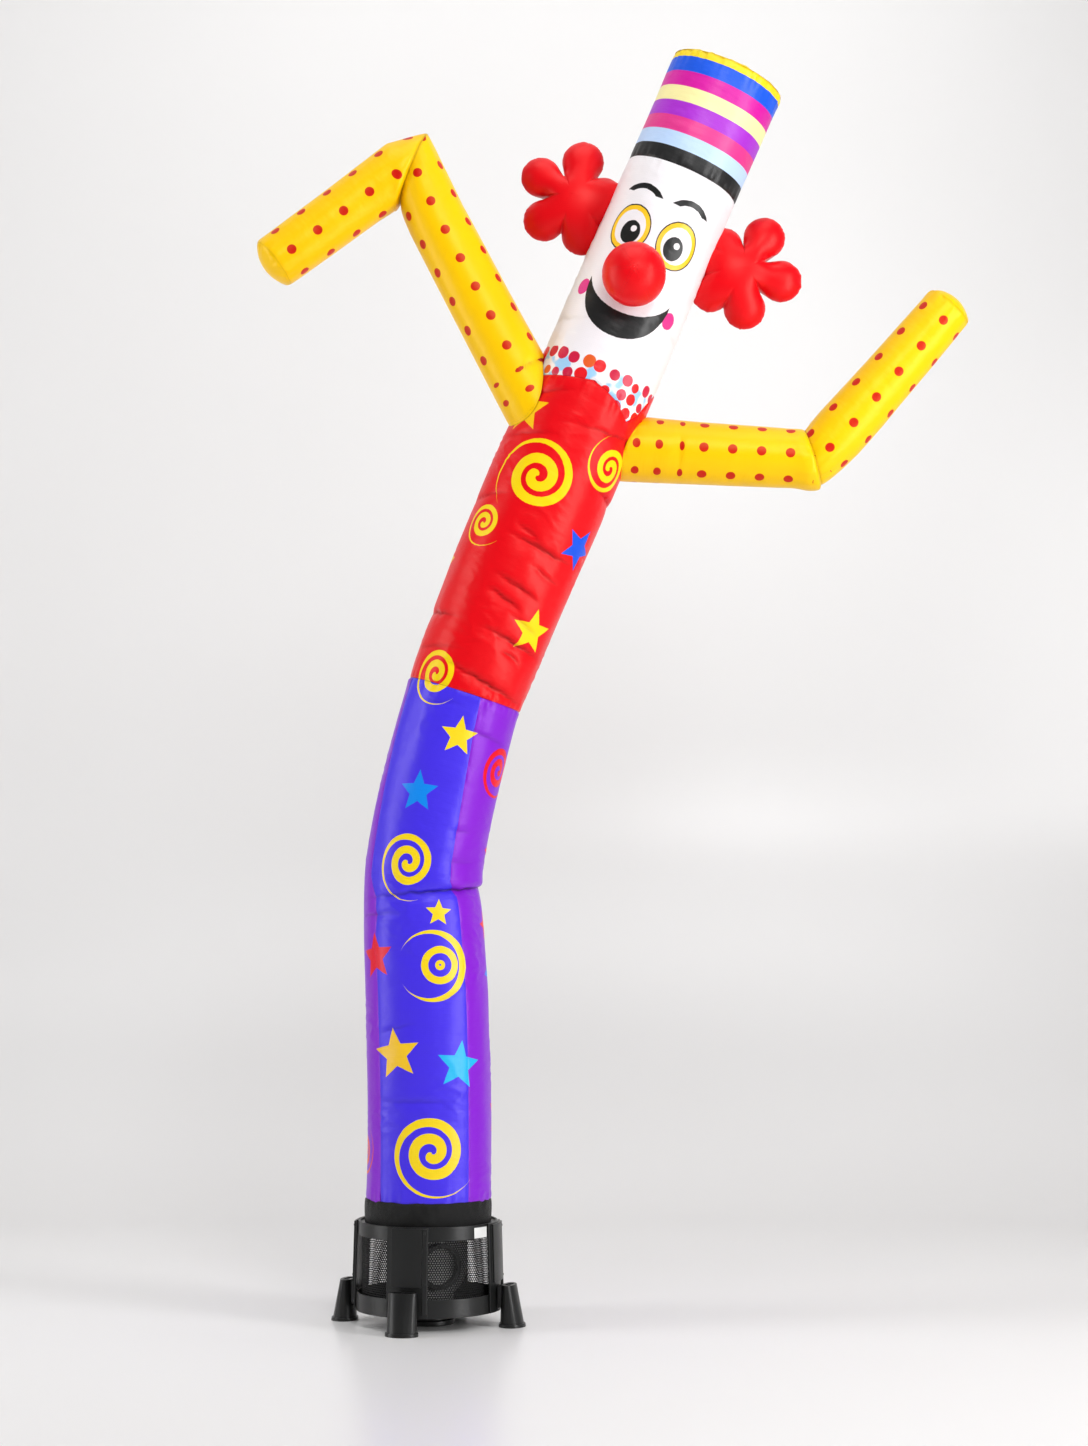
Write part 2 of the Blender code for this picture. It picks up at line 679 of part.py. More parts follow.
def pillars(group, guides):
    """A strip outside both rings, moulded with a raised panel and a narrow rib beside it."""

    def strip_at(height):
        return drum_radius(height) + PILLAR_GAP

    def face_at(height):
        return strip_at(height) + PILLAR_THICK / 2  # sunk half into the strip, so that they join

    for number in range(4):
        facing = FIRST_FOOT + QUARTER_TURN * number
        name = f"base_pillar_{number + 1}"
        made = bent_plate(
            name, strip_at, PILLAR_THICK, PILLAR_WIDE, PILLAR_LOW, DRUM_HIGH, facing, group, BLACK_PLASTIC
        )
        for part, thick, wide, low, high, aside in (
            ("panel", PANEL_THICK, PANEL_WIDE, PANEL_LOW, PANEL_HIGH, 0.0),
            ("rib", RIB_THICK, RIB_WIDE, GUSSET_LOW, PANEL_HIGH, RIB_ASIDE),
        ):
            raised = bent_plate(
                f"{name}_{part}",
                face_at,
                thick + PILLAR_THICK / 2,
                wide,
                low,
                high,
                facing,
                guides,
                BLACK_PLASTIC,
                aside,
                across=4 if part == "panel" else 1,
            )
            combine(made, raised, "UNION")


def box(name, low, high, facing, group):
    """A box between two corners of the front's frame, turned to its facing."""
    bm = bmesh.new()
    bmesh.ops.create_cube(bm, size=1.0)
    low, high = Vector(low), Vector(high)
    for vert in bm.verts:
        vert.co = [low[k] + (high[k] - low[k]) * (vert.co[k] + 0.5) for k in range(3)]
    bm.transform(facing_matrix(facing))
    return finish(name, to_mesh(name, bm), BLACK_PLASTIC, group, smooth=False)


def foot_column(name, grow, tall, facing, group):
    """A flattened tube that leans out from the drum, from the floor up to a height."""
    bm = bmesh.new()
    bmesh.ops.create_cone(bm, cap_ends=True, segments=FOOT_AROUND, radius1=1.0, radius2=1.0, depth=1.0)
    for vert in bm.verts:
        height = tall * (vert.co.z + 0.5)
        share = height / FOOT_TALL
        reach, deep, wide = (
            FOOT_LOW[key] + (FOOT_TOP[key] - FOOT_LOW[key]) * share for key in ("reach", "deep", "wide")
        )
        vert.co = (vert.co.x * (wide + grow), vert.co.y * (deep + grow) - reach, height)
    bm.transform(facing_matrix(facing))
    return finish(name, to_mesh(name, bm), BLACK_PLASTIC, group)


def feet(group, guides):
    """Four feet with a flange on the floor, two pockets in the top, and a gusset to the pillar."""
    for number in range(4):
        facing = FIRST_FOOT + QUARTER_TURN * number
        name = f"base_foot_{number + 1}"
        made = foot_column(name, 0.0, FOOT_TALL, facing, group)
        combine(made, foot_column(name + "_flange", FLANGE_OUT, FLANGE_TALL, facing, guides), "UNION")
        gusset = box(
            name + "_gusset",
            (-GUSSET_WIDE / 2, -FOOT_TOP["reach"], GUSSET_LOW),
            (GUSSET_WIDE / 2, -GUSSET_FACE, GUSSET_HIGH),
            facing,
            guides,
        )
        combine(made, gusset, "UNION")
        for side in (-1, 1):
            pocket = box(
                f"{name}_pocket_{side + 2}",
                (
                    side * POCKET_ASIDE - POCKET_LONG / 2,
                    -FOOT_TOP["reach"] - POCKET_WIDE / 2,
                    FOOT_TALL - POCKET_DEEP,
                ),
                (
                    side * POCKET_ASIDE + POCKET_LONG / 2,
                    -FOOT_TOP["reach"] + POCKET_WIDE / 2,
                    FOOT_TALL + POCKET_DEEP,
                ),
                facing,
                guides,
            )
            combine(made, pocket, "DIFFERENCE")


def guards(group):
    """The mesh guards stand on the pan, behind the windows, a quarter of the way round each."""
    wide = math.radians(GUARD_SPAN) * GUARD_RADIUS
    for number in range(4):
        facing = FIRST_FOOT + QUARTER_TURN * (number + 0.5)
        bent_plate(
            f"base_guard_{number + 1}",
            lambda height: GUARD_RADIUS,
            GUARD_THICK,
            wide,
            PAN_HIGH + REST_GAP,
            DECK_LOW - REST_GAP,
            facing,
            group,
            BLACK_WIRE,
            across=10,
        )


def lying_drum(name, radius, start, end, facing, group, around=32, bore=0.0):
    """A cylinder on a level axis that points outwards at this facing, from start to end along it."""
    bm = bmesh.new()
    bmesh.ops.create_cone(
        bm, cap_ends=True, segments=around, radius1=radius, radius2=radius, depth=end - start
    )
    turn = Matrix.Rotation(math.radians(90), 4, "X")
    place = facing_matrix(facing) @ Matrix.Translation((0, -(start + end) / 2, FAN_MIDDLE)) @ turn
    bm.transform(place)
    return finish(name, to_mesh(name, bm), BLACK_PLASTIC, group)


def fan(group, guides):
    """A squirrel-cage fan: its scroll housing with the outlet up, the inlet ring, and the motor."""
    half = FAN_WIDE / 2
    housing = lying_drum("fan_housing", FAN_RADIUS, -half, half, FAN_FACING, group)
    outlet = box(
        "fan_outlet",
        (0.0, -half * OUTLET_SHARE, FAN_MIDDLE),
        (FAN_RADIUS, half * OUTLET_SHARE, FAN_OUTLET_TOP),
        FAN_FACING,
        guides,
    )
    stand = box(
        "fan_stand",
        (-STAND_WIDE / 2, -half * STAND_SHARE, PAN_HIGH + REST_GAP),
        (STAND_WIDE / 2, half * STAND_SHARE, FAN_MIDDLE - FAN_RADIUS / 2),
        FAN_FACING,
        guides,
    )
    combine(housing, outlet, "UNION")
    combine(housing, stand, "UNION")
    face = half + REST_GAP
    ring = lying_drum("fan_inlet_ring", INLET_OUTER, face, face + INLET_DEEP, FAN_FACING, group)
    throat = lying_drum("fan_throat", INLET_INNER, half, face + 2 * INLET_DEEP, FAN_FACING, guides)
    combine(ring, throat, "DIFFERENCE")
    lying_drum("fan_motor", MOTOR_RADIUS, -face - MOTOR_LONG, -face, FAN_FACING, group, around=24)


def label(group):
    bent_plate(
        "blank_label",
        lambda height: drum_radius(height) + PILLAR_GAP,
        LABEL_THICK,
        LABEL_WIDE,
        LABEL_LOW,
        LABEL_HIGH,
        LABEL_FACING,
        group,
        LABEL_WHITE,
    )


def build():
    clear_scene()
    parts = collection("air_dancer")
    guides = collection("guides")
    trousers(parts)
    shirt(parts)
    head(parts)
    hat(parts)
    crown(parts)
    cuff(parts)
    body_solid = body_form(guides)
    sleeve("sleeve_left", LEFT_SLEEVE, body_solid, parts)
    sleeve("sleeve_right", RIGHT_SLEEVE, body_solid, parts)
    puff("hair_puff_left", LEFT_PUFF_MIDDLE, LEFT_PUFF_LOBES, body_solid, parts)
    puff("hair_puff_right", RIGHT_PUFF_MIDDLE, RIGHT_PUFF_LOBES, body_solid, parts)
    nose(body_solid, parts)
    drum_rings(parts)
    pillars(parts, guides)
    feet(parts, guides)
    guards(parts)
    fan(parts, guides)
    label(parts)


build()
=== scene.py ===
"""The looks of the inflatable air dancer and its floor blower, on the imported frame.

Metres, +Z up, -Y is the front. The cloth pieces are rebuilt finely on the same forms as the frame's solids,
with their folds, puckered seams and prints. The blower keeps the frame's forms, with rounded edges.
"""

import math
from functools import lru_cache

import bmesh
import bpy
import numpy as np
from mathutils import Matrix, Vector, noise


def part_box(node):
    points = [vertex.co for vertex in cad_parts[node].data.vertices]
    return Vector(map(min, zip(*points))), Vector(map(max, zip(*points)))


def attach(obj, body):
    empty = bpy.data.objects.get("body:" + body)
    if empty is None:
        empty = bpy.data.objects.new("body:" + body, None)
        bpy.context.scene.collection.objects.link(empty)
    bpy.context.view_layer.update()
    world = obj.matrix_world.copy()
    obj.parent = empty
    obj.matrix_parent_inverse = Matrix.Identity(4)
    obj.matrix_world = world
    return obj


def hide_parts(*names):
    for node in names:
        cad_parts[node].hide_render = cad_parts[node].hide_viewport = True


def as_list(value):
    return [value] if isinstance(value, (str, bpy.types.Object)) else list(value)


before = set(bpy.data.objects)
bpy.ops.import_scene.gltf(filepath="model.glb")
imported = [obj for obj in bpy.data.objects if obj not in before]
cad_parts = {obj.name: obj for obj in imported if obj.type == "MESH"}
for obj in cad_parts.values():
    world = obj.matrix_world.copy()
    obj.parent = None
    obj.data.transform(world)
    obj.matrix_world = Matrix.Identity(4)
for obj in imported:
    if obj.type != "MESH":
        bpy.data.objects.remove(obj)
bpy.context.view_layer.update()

# ---- the body tube, as in the frame ----
# Each row: height and x of a ring's middle, and the outer radius of the cloth there.
BODY_STATIONS = (
    (0.275, 0.000, 0.1510),
    (0.530, 0.001, 0.1510),
    (0.780, -0.003, 0.1500),
    (0.927, -0.012, 0.1475),
    (0.985, -0.015, 0.1450),
    (1.052, -0.0165, 0.1415),
    (1.110, -0.0115, 0.1420),
    (1.220, 0.008, 0.1425),
    (1.368, 0.043, 0.1425),
    (1.515, 0.083, 0.1420),
    (1.600, 0.113, 0.1455),
    (1.740, 0.168, 0.1500),
    (1.886, 0.228, 0.1530),
    (2.035, 0.292, 0.1535),
    (2.180, 0.356, 0.1510),
    (2.330, 0.421, 0.1465),
    (2.500, 0.494, 0.1445),
    (2.805, 0.625, 0.1440),
    (3.0715, 0.740, 0.1435),
)
FOOT_HEIGHT = BODY_STATIONS[0][0]
BELT_HEIGHT = 1.527
HAT_HEIGHT = 2.805
CROWN_HEIGHT = BODY_STATIONS[-1][0]
NOMINAL_RADIUS = 0.148  # the prints are laid out on a tube of this radius

# The neck seam and the trousers' seams, as in the frame. Each row: angle, height, and height, angle.
NECK_LINE = (
    (-180, 2.335),
    (-75, 2.332),
    (-60, 2.256),
    (-30, 2.269),
    (0, 2.283),
    (15, 2.275),
    (30, 2.262),
    (50, 2.234),
    (60, 2.254),
    (75, 2.306),
    (90, 2.328),
    (180, 2.335),
)
PANEL_SEAM = ((0.275, 42.5), (1.030, 40.0), (1.074, 30.0), (1.220, 29.0), (1.527, 19.0))
PANEL_NAMES = ("trouser_panel_front", "trouser_panel_right", "trouser_panel_back", "trouser_panel_left")

# Creases, where the cloth above laps over the cloth below.
# Each row: height, climb in metres per degree, angle, reach to each side, depth, and spread below.
CREASES = (
    (0.545, 0.0000, -10, 50, 0.0044, 0.018),
    (0.720, 0.0006, -28, 24, 0.0037, 0.014),
    (0.790, 0.0008, 22, 22, 0.0044, 0.016),
    (0.995, 0.0001, -50, 45, 0.0056, 0.018),
    (1.052, 0.0002, 40, 125, 0.0155, 0.020),
    (1.130, 0.0002, 40, 30, 0.0037, 0.014),
    (1.205, 0.0001, 34, 18, 0.0037, 0.012),
    (1.440, -0.0003, 40, 40, 0.0056, 0.020),
    (1.490, 0.0003, -20, 30, 0.0037, 0.014),
    (1.562, -0.0004, 22, 62, 0.0140, 0.016),
    (1.604, 0.0004, -50, 40, 0.0058, 0.014),
    (1.640, -0.0006, 34, 22, 0.0080, 0.013),
    (1.672, -0.0003, 30, 46, 0.0145, 0.018),
    (1.679, 0.0001, -66, 44, 0.0101, 0.014),
    (1.720, -0.0007, 34, 24, 0.0072, 0.014),
    (1.757, -0.0006, 6, 26, 0.0116, 0.016),
    (1.792, -0.0005, 14, 34, 0.0116, 0.018),
    (1.840, -0.0006, 34, 26, 0.0072, 0.014),
    (1.892, -0.0002, 22, 46, 0.0138, 0.020),
    (1.915, -0.0008, 2, 18, 0.0072, 0.012),
    (1.960, 0.0006, -60, 40, 0.0058, 0.018),
    (2.060, -0.0004, 75, 60, 0.0072, 0.020),
    (2.120, 0.0007, -40, 40, 0.0051, 0.016),
    (2.190, 0.0003, 40, 60, 0.0087, 0.014),
    (2.228, 0.0009, -35, 30, 0.0056, 0.012),
    (2.400, 0.0003, -60, 50, 0.0028, 0.016),
    (2.455, -0.0003, 60, 50, 0.0028, 0.016),
)
LAP = 0.0052  # how quickly the cloth above a crease turns in to it
# FOLD_DEPTH and FOLD_WIDE set the painted shade drawn into the colour along each crease line
FOLD_DEPTH, FOLD_WIDE = 0.016, 0.0034  # a crease this deep is fully shaded, this far from its line
CREASE_FAR, CREASE_STRAY = 0.12, 0.004  # a crease ends this far up and down, and its line strays this much
KNEE_HEIGHT, KNEE_ANGLE, KNEE_REACH, KNEE_BULGE, KNEE_LOBE = 1.053, 70, 100, 0.0050, 0.026
KNEE_ROWS = (1.020, 1.085, 0.0022)  # closer rows round the fold at the knee: from, to, spacing

# ---- cloth ----
FINE = 0.0048  # spacing of the fine grid
SEAM_DEEP, SEAM_WIDE = 0.0022, 0.0035
SEAM_ROWS = (0.35, 0.8)  # closer rows beside a seam, as shares of its width
SIDE_SEAM_SHARE = 0.3  # the trousers' lengthwise seams lie flatter
PUCKER, PUCKER_PITCH, PUCKER_REACH = 0.0040, 0.016, 0.026
# How much more the cloth puckers under the crown, from how far down, and over what height it grows to that.
CROWN_PUCKER, CROWN_NEAR, CROWN_BLEND = 0.9, 0.12, 0.06
CUFF_NEAR, CUFF_BLEND = 0.02, 0.03  # the same for all unevenness above the cuff
SWELL, SWELL_LONG, SWELL_TALL, SWELL_FINER = 0.0034, 0.110, 0.360, 2.7
WRINKLE, WRINKLE_LONG, WRINKLE_TALL, WRINKLE_EDGE = 0.0016, 0.060, 0.024, 0.28
PATCH_WIDE, PATCH_TALL = 1.3, 0.16  # the wrinkles lie in patches
ROOT_SUNK = 0.0015

# ---- sleeves, as in the frame: x, y, z, turn, broad radius, deep radius ----
LEFT_SLEEVE = (
    (0.166, -0.025, 2.418, 27.8, 0.0775, 0.0775),
    (0.016, -0.018, 2.704, 27.8, 0.0745, 0.0745),
    (-0.042, -0.010, 2.8335, 68.0, 0.0987, 0.0700),
    (-0.100, -0.014, 2.8120, 96.0, 0.0845, 0.0705),
    (-0.165, -0.018, 2.7620, 125.9, 0.0700, 0.0700),
    (-0.384, -0.045, 2.5900, 129.0, 0.0662, 0.0662),
)
RIGHT_SLEEVE = (
    (0.560, 0.010, 2.1345, 86.3, 0.0800, 0.0800),
    (0.860, 0.006, 2.1150, 86.3, 0.0740, 0.0740),
    (0.9475, 0.002, 2.1105, 107.0, 0.0769, 0.0690),
    (1.010, 0.000, 2.1760, 134.0, 0.0700, 0.0690),
    (1.070, 0.000, 2.2420, 139.0, 0.0690, 0.0690),
    (1.286, 0.000, 2.4905, 137.8, 0.0624, 0.0624),
)
ELBOW_ROW = 2
CROWN_RISE, HAND_RISE = 0.018, 0.026

# ---- hair puffs and nose, as in the frame ----
LEFT_PUFF_MIDDLE = (0.351, 0.020, 2.766)
LEFT_PUFF_LOBES = (
    (73, 0.097, 0.052),
    (144, 0.094, 0.050),
    (218, 0.087, 0.052),
    (285, 0.094, 0.050),
    (3, 0.080, 0.050),
    (338, 0.072, 0.052),
)
RIGHT_PUFF_MIDDLE = (0.777, 0.020, 2.583)
RIGHT_PUFF_LOBES = (
    (58, 0.100, 0.052),
    (346, 0.097, 0.052),
    (272, 0.092, 0.052),
    (214, 0.098, 0.046),
    (126, 0.080, 0.046),
    (164, 0.070, 0.050),
)
PUFF_CORE = 0.062
PUFF_AROUND, PUFF_STEPS = 220, 32
PUFF_THICK = 0.064  # half the thickness at the middle
SHEET_REACH, SHEET_CELL, SHEET_GROWN = 0.150, 0.002, 1.05
SHEET_ROUNDS, SHEET_PACE = 500, 1.93  # of the over-relaxation that blows the sheet up
NOTCH_DEEP, NOTCH_WIDE = 0.20, 0.004
NEAR_POLE = 89.6  # the first and last rows stop just short of the poles
NOSE_RADIUS, NOSE_HEIGHT, NOSE_ANGLE, NOSE_SUNK = 0.0775, 2.527, -2.0, 0.020
NOSE_AROUND, NOSE_STEPS = 144, 72
GORE_PULL, GORE_REACH, NOSE_SWELL = 0.0007, 0.004, 0.0012

# ---- the blower, as in the frame ----
FIRST_FOOT = -14.6
QUARTER_TURN = 90
GUARD_RADIUS, GUARD_SPAN = 0.1600, 88.0
CUFF_LOW, CUFF_HIGH, CUFF_RADIUS = 0.2450, 0.3030, 0.1533
CUFF_RUCK, CUFF_BULGE, CUFF_LIFT, CUFF_LIP, LIP_FROM = 0.0030, 0.0012, 0.003, 0.0022, 0.93

# ---- colours, linear ----
RED = (0.80, 0.001, 0.007)
BLUE = (0.056, 0.028, 0.80)
PURPLE = (0.235, 0.010, 0.62)
YELLOW = (0.95, 0.69, 0.004)
SLEEVE_YELLOW = (0.98, 0.58, 0.000)
WHITE = (0.88, 0.85, 0.88)
DOT_RED = (0.60, 0.001, 0.002)
AZURE = (0.000, 0.26, 0.87)
CYAN = (0.007, 0.48, 0.83)
GOLD = (0.95, 0.58, 0.013)
SKY = (0.25, 0.58, 0.92)
PALE_BLUE = (0.50, 0.67, 0.95)
INK = (0.006, 0.006, 0.0065)
CREAM = (0.95, 0.86, 0.40)
HAT_BLUE = (0.000, 0.091, 0.75)
MAGENTA = (0.67, 0.000, 0.35)
VIOLET = (0.40, 0.021, 0.61)
ROSE = (0.75, 0.032, 0.26)
ORANGE = (0.85, 0.10, 0.008)
CRIMSON = (0.62, 0.006, 0.050)
DOT_ORANGE = (0.80, 0.11, 0.012)
BLACK_PLASTIC = (0.0068, 0.0072, 0.0072)
# The colours that the dyed cloths give their highlights.
RED_GLOSS = (1.0, 0.42, 0.36)
BLUE_GLOSS = (0.84, 0.70, 1.0)
PURPLE_GLOSS = (0.84, 0.56, 1.0)
YELLOW_GLOSS = (1.0, 0.88, 0.34)


# ---- smooth values between the rows of a table ----
def slope(table, row, column):
    low, high = max(0, row - 1), min(len(table) - 1, row + 1)
    return (table[high][column] - table[low][column]) / (table[high][0] - table[low][0])


def smooth_row(table, at):
    """The other columns of a table at a value of its first, on a smooth curve through the rows."""
    at = min(max(at, table[0][0]), table[-1][0])
    row = max(k for k in range(len(table) - 1) if table[k][0] <= at)
    low, high = table[row], table[row + 1]
    span = high[0] - low[0]
    t = (at - low[0]) / span
    found = []
    for column in range(1, len(low)):
        start, end = slope(table, row, column) * span, slope(table, row + 1, column) * span
        found.append(
            (2 * t**3 - 3 * t**2 + 1) * low[column]
            + (t**3 - 2 * t**2 + t) * start
            + (3 * t**2 - 2 * t**3) * high[column]
            + (t**3 - t**2) * end
        )
    return found


def straight_row(table, at):
    """The second column of a table at a value of its first, on straight lines between the rows."""
    at = min(max(at, table[0][0]), table[-1][0])
    row = max(k for k in range(len(table) - 1) if table[k][0] <= at)
    low, high = table[row], table[row + 1]
    return low[1] + (high[1] - low[1]) * (at - low[0]) / (high[0] - low[0])


def smooth_step(value):
    value = min(max(value, 0.0), 1.0)
    return value * value * (3 - 2 * value)


def bell(off, reach=1):
    """1 in the middle of a stretch, falling to 0 at its reach to either side."""
    return 0.5 + 0.5 * math.cos(math.pi * off / reach)


def lapped(past, above, below):
    """1 on a crease's line, falling off past it and before it at two rates."""
    return math.exp(-past / above) if past > 0 else math.exp(past / below)


def painted_crease_shade(past):
    """Painted shade along a crease: 1 on a fold's line, falling to 0 close beside it."""
    return math.exp(-((past / FOLD_WIDE) ** 2))


def around(count, start=0):
    """Degrees all the way round, from a start back to it."""
    return [360 * k / count + start for k in range(count + 1)]


def round_spot(turn, size, up):
    """A place for noise that joins up round a tube."""
    return Vector((math.cos(turn) * size, math.sin(turn) * size, up))


def from_front(turn, reach, height):
    """A point this far from the upright through the base, at a turn from the front."""
    return reach * math.sin(turn), -reach * math.cos(turn), height


def turned(angle, other):
    """The difference of two angles in degrees, from -180 to 180."""
    return (angle - other + 180) % 360 - 180


# ---- the body tube's surface ----
@lru_cache(maxsize=None)
def ring_at(height):
    """Middle, direction to +X in the ring's plane, direction up the tube, and radius."""
    across, radius = smooth_row(BODY_STATIONS, height)
    step = 0.001
    ahead = smooth_row(BODY_STATIONS, height + step)[0]
    behind = smooth_row(BODY_STATIONS, height - step)[0]
    rise = min(height + step, CROWN_HEIGHT) - max(height - step, FOOT_HEIGHT)
    along = Vector((ahead - behind, 0, rise)).normalized()
    side = Vector((along.z, 0, -along.x))
    return Vector((across, 0, height)), side, along, radius


@lru_cache(maxsize=None)
def length_to(height):
    """Length along the tube's middle from its foot, which the prints use as their upright."""
    count = 80
    total = 0.0
    last = ring_at(FOOT_HEIGHT)[0]
    for k in range(1, count + 1):
        here = ring_at(FOOT_HEIGHT + (height - FOOT_HEIGHT) * k / count)[0]
        total += (here - last).length
        last = here
    return total


def print_place(height, angle):
    """Where a place on the body lies on the flat print: across from the front, and up from the foot."""
    return math.radians(angle) * NOMINAL_RADIUS, length_to(round(height, 3))


def creases(height, angle):
    """How far the creases draw the cloth in at this place, and how much painted shade the fold gets, from 0 to
    1.
    """
    deep, shaded = 0.0, 0.0
    for at, climb, middle, reach, depth, spread in CREASES:
        off = turned(angle, middle)
        if abs(height - at) > CREASE_FAR or abs(off) > reach:
            continue
        stray = CREASE_STRAY * noise.noise(Vector((off * 0.09, at * 40, 2.0)))
        past = height - at - climb * off - stray
        fade = bell(off, reach)
        deep += depth * lapped(past, LAP, spread) * fade
        shaded += depth / FOLD_DEPTH * fade * painted_crease_shade(past)
    return deep, min(shaded, 1.0)


def knee_lobe(height, angle):
    """The upper leg bulges over the fold at the knee."""
    off = turned(angle, KNEE_ANGLE) / KNEE_REACH
    if abs(off) > 1:
        return 0.0
    over = (height - KNEE_HEIGHT - KNEE_LOBE) / KNEE_LOBE
    return KNEE_BULGE * math.exp(-over * over) * bell(off)


def seam_pull(to_seam, run, deep=SEAM_DEEP, pucker=PUCKER):
    """Outward shift near a seam: the seam lies in a valley, and the cloth beside it puckers."""
    if to_seam > 4 * PUCKER_REACH:
        return 0.0
    ridge = noise.noise(Vector((run / PUCKER_PITCH, 7.3, to_seam / 0.08)))
    ridge += 0.5 * noise.noise(Vector((run * 2.3 / PUCKER_PITCH, 1.7, 3.5)))
    reach = PUCKER_REACH * (0.6 + 0.9 * abs(noise.noise(Vector((run / 0.05, 4.1, 0.0)))))
    fade = math.exp(-to_seam / reach) * smooth_step(to_seam / (1.5 * SEAM_WIDE))
    return pucker * ridge * fade - deep * math.exp(-to_seam / SEAM_WIDE)


def swell(turn, run):
    """Slow unevenness of blown cloth, longer along the tube than across it."""
    spot = round_spot(turn, NOMINAL_RADIUS / SWELL_LONG, run / SWELL_TALL)
    slow = SWELL * noise.noise(spot) + SWELL / 3 * noise.noise(spot * SWELL_FINER)
    spot = round_spot(turn, NOMINAL_RADIUS / WRINKLE_LONG, run / WRINKLE_TALL + math.sin(turn) * 1.5)
    ridge = max(0.0, WRINKLE_EDGE - abs(noise.noise(spot))) / WRINKLE_EDGE
    patch = max(0.0, noise.noise(round_spot(turn, PATCH_WIDE, run / PATCH_TALL)))
    return slow + WRINKLE * 2 * ridge * patch


def on_body(height, angle, to_side=1.0, to_end=1.0):
    """A place on the body's cloth, given also how far it is from its seams."""
    middle, side, _, radius = ring_at(round(height, 5))
    turn = math.radians(angle)
    across, up = print_place(height, angle)
    radius += knee_lobe(height, angle) - creases(height, angle)[0]
    blown = seam_pull(to_side, up, SEAM_DEEP * SIDE_SEAM_SHARE, PUCKER * SIDE_SEAM_SHARE)
    crown = 1.0 + CROWN_PUCKER * smooth_step((height - CROWN_HEIGHT + CROWN_NEAR) / CROWN_BLEND)
    blown += seam_pull(to_end, across, SEAM_DEEP * crown, PUCKER * crown) + swell(turn, up)
    radius += blown * smooth_step((height - CUFF_HIGH + CUFF_NEAR) / CUFF_BLEND)
    return middle + side * (radius * math.sin(turn)) + Vector((0, -radius * math.cos(turn), 0))


def outside_body(point):
    """How far a point lies outside the smooth body tube."""
    height = point.z
    for _ in range(6):
        middle, _, along, _ = ring_at(round(height, 5))
        height += (point - middle).dot(along) * along.z
    middle, _, along, radius = ring_at(round(height, 5))
    off = point - middle
    return (off - along * off.dot(along)).length - radius


# ---- meshes ----
def even(low, high, step=FINE, edges=True):
    """Evenly spaced values, with closer ones at both edges where the seams lie."""
    count = max(2, round((high - low) / step))
    values = [low + (high - low) * k / count for k in range(count + 1)]
    if edges:
        near = [SEAM_WIDE * share for share in SEAM_ROWS]
        values += [low + gap for gap in near] + [high - gap for gap in near]
    return sorted(values)


def mesh_of(name, points, faces):
    mesh = bpy.data.meshes.new(name)
    mesh.from_pydata(points, [], faces)
    return mesh


def smooth_mesh(name, bm):
    """The mesh of a finished bmesh, shaded smooth."""
    mesh = bpy.data.meshes.new(name)
    bm.to_mesh(mesh)
    bm.free()
    mesh.shade_smooth()
    return mesh


def cloth_mesh(name, columns, rows, place, closed):
    """A grid of cloth. place(column, row) gives a point, its print place, its seam distances and its painted
    crease shade.
    """
    spots = [[place(column, row) for column in columns] for row in rows]
    wide = len(columns)
    used = wide - 1 if closed else wide
    points = [tuple(spot[0]) for line in spots for spot in line[:used]]
    faces = []
    for r in range(len(rows) - 1):
        for c in range(wide - 1):
            right = (c + 1) % used
            faces.append((r * used + c, r * used + right, (r + 1) * used + right, (r + 1) * used + c))
    mesh = mesh_of(name, points, faces)
    print_map = mesh.uv_layers.new(name="print")
    seam_map = mesh.uv_layers.new(name="seams")
    # The folds map carries how much painted shade each crease line gets
    fold_shade_map = mesh.uv_layers.new(name="folds")
    corner = 0
    for r in range(len(rows) - 1):
        for c in range(wide - 1):
            for row, column in ((r, c), (r, c + 1), (r + 1, c + 1), (r + 1, c)):
                _, on_print, to_seams, *shade = spots[row][column]
                print_map.data[corner].uv = on_print
                seam_map.data[corner].uv = to_seams
                fold_shade_map.data[corner].uv = (*shade, 0.0) if shade else (0.0, 0.0)
                corner += 1
    mesh.shade_smooth()
    return mesh


def link(name, data):
    """A new object in the scene."""
    made = bpy.data.objects.new(name, data)
    bpy.context.scene.collection.objects.link(made)
    return made


def add_piece(name, mesh, material, slot, *nodes):
    """Puts a piece on the frame: it rides on the one body and stands for these nodes."""
    mesh.materials.clear()
    mesh.materials.append(material)
    piece = link(name, mesh)
    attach(piece, "root")
    if nodes:
        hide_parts(*nodes)
    return piece


def cloth_piece(name, material, slot, node, columns, rows, place, closed=True):
    """A grid of cloth, put on the frame in place of a node."""
    return add_piece(name, cloth_mesh(name, columns, rows, place, closed), material, slot, node)


# ---- shader arithmetic ----
class Value:
    """A node's output, with arithmetic that adds nodes."""

    def __init__(self, graph, socket):
        self.graph = graph
        self.socket = socket

    def __add__(self, other):
        return self.graph.math("ADD", self, other)

    def __radd__(self, other):
        return self.graph.math("ADD", other, self)

    def __sub__(self, other):
        return self.graph.math("SUBTRACT", self, other)

    def __rsub__(self, other):
        return self.graph.math("SUBTRACT", other, self)

    def __mul__(self, other):
        return self.graph.math("MULTIPLY", self, other)

    def __rmul__(self, other):
        return self.graph.math("MULTIPLY", other, self)

    def __truediv__(self, other):
        return self.graph.math("DIVIDE", self, other)


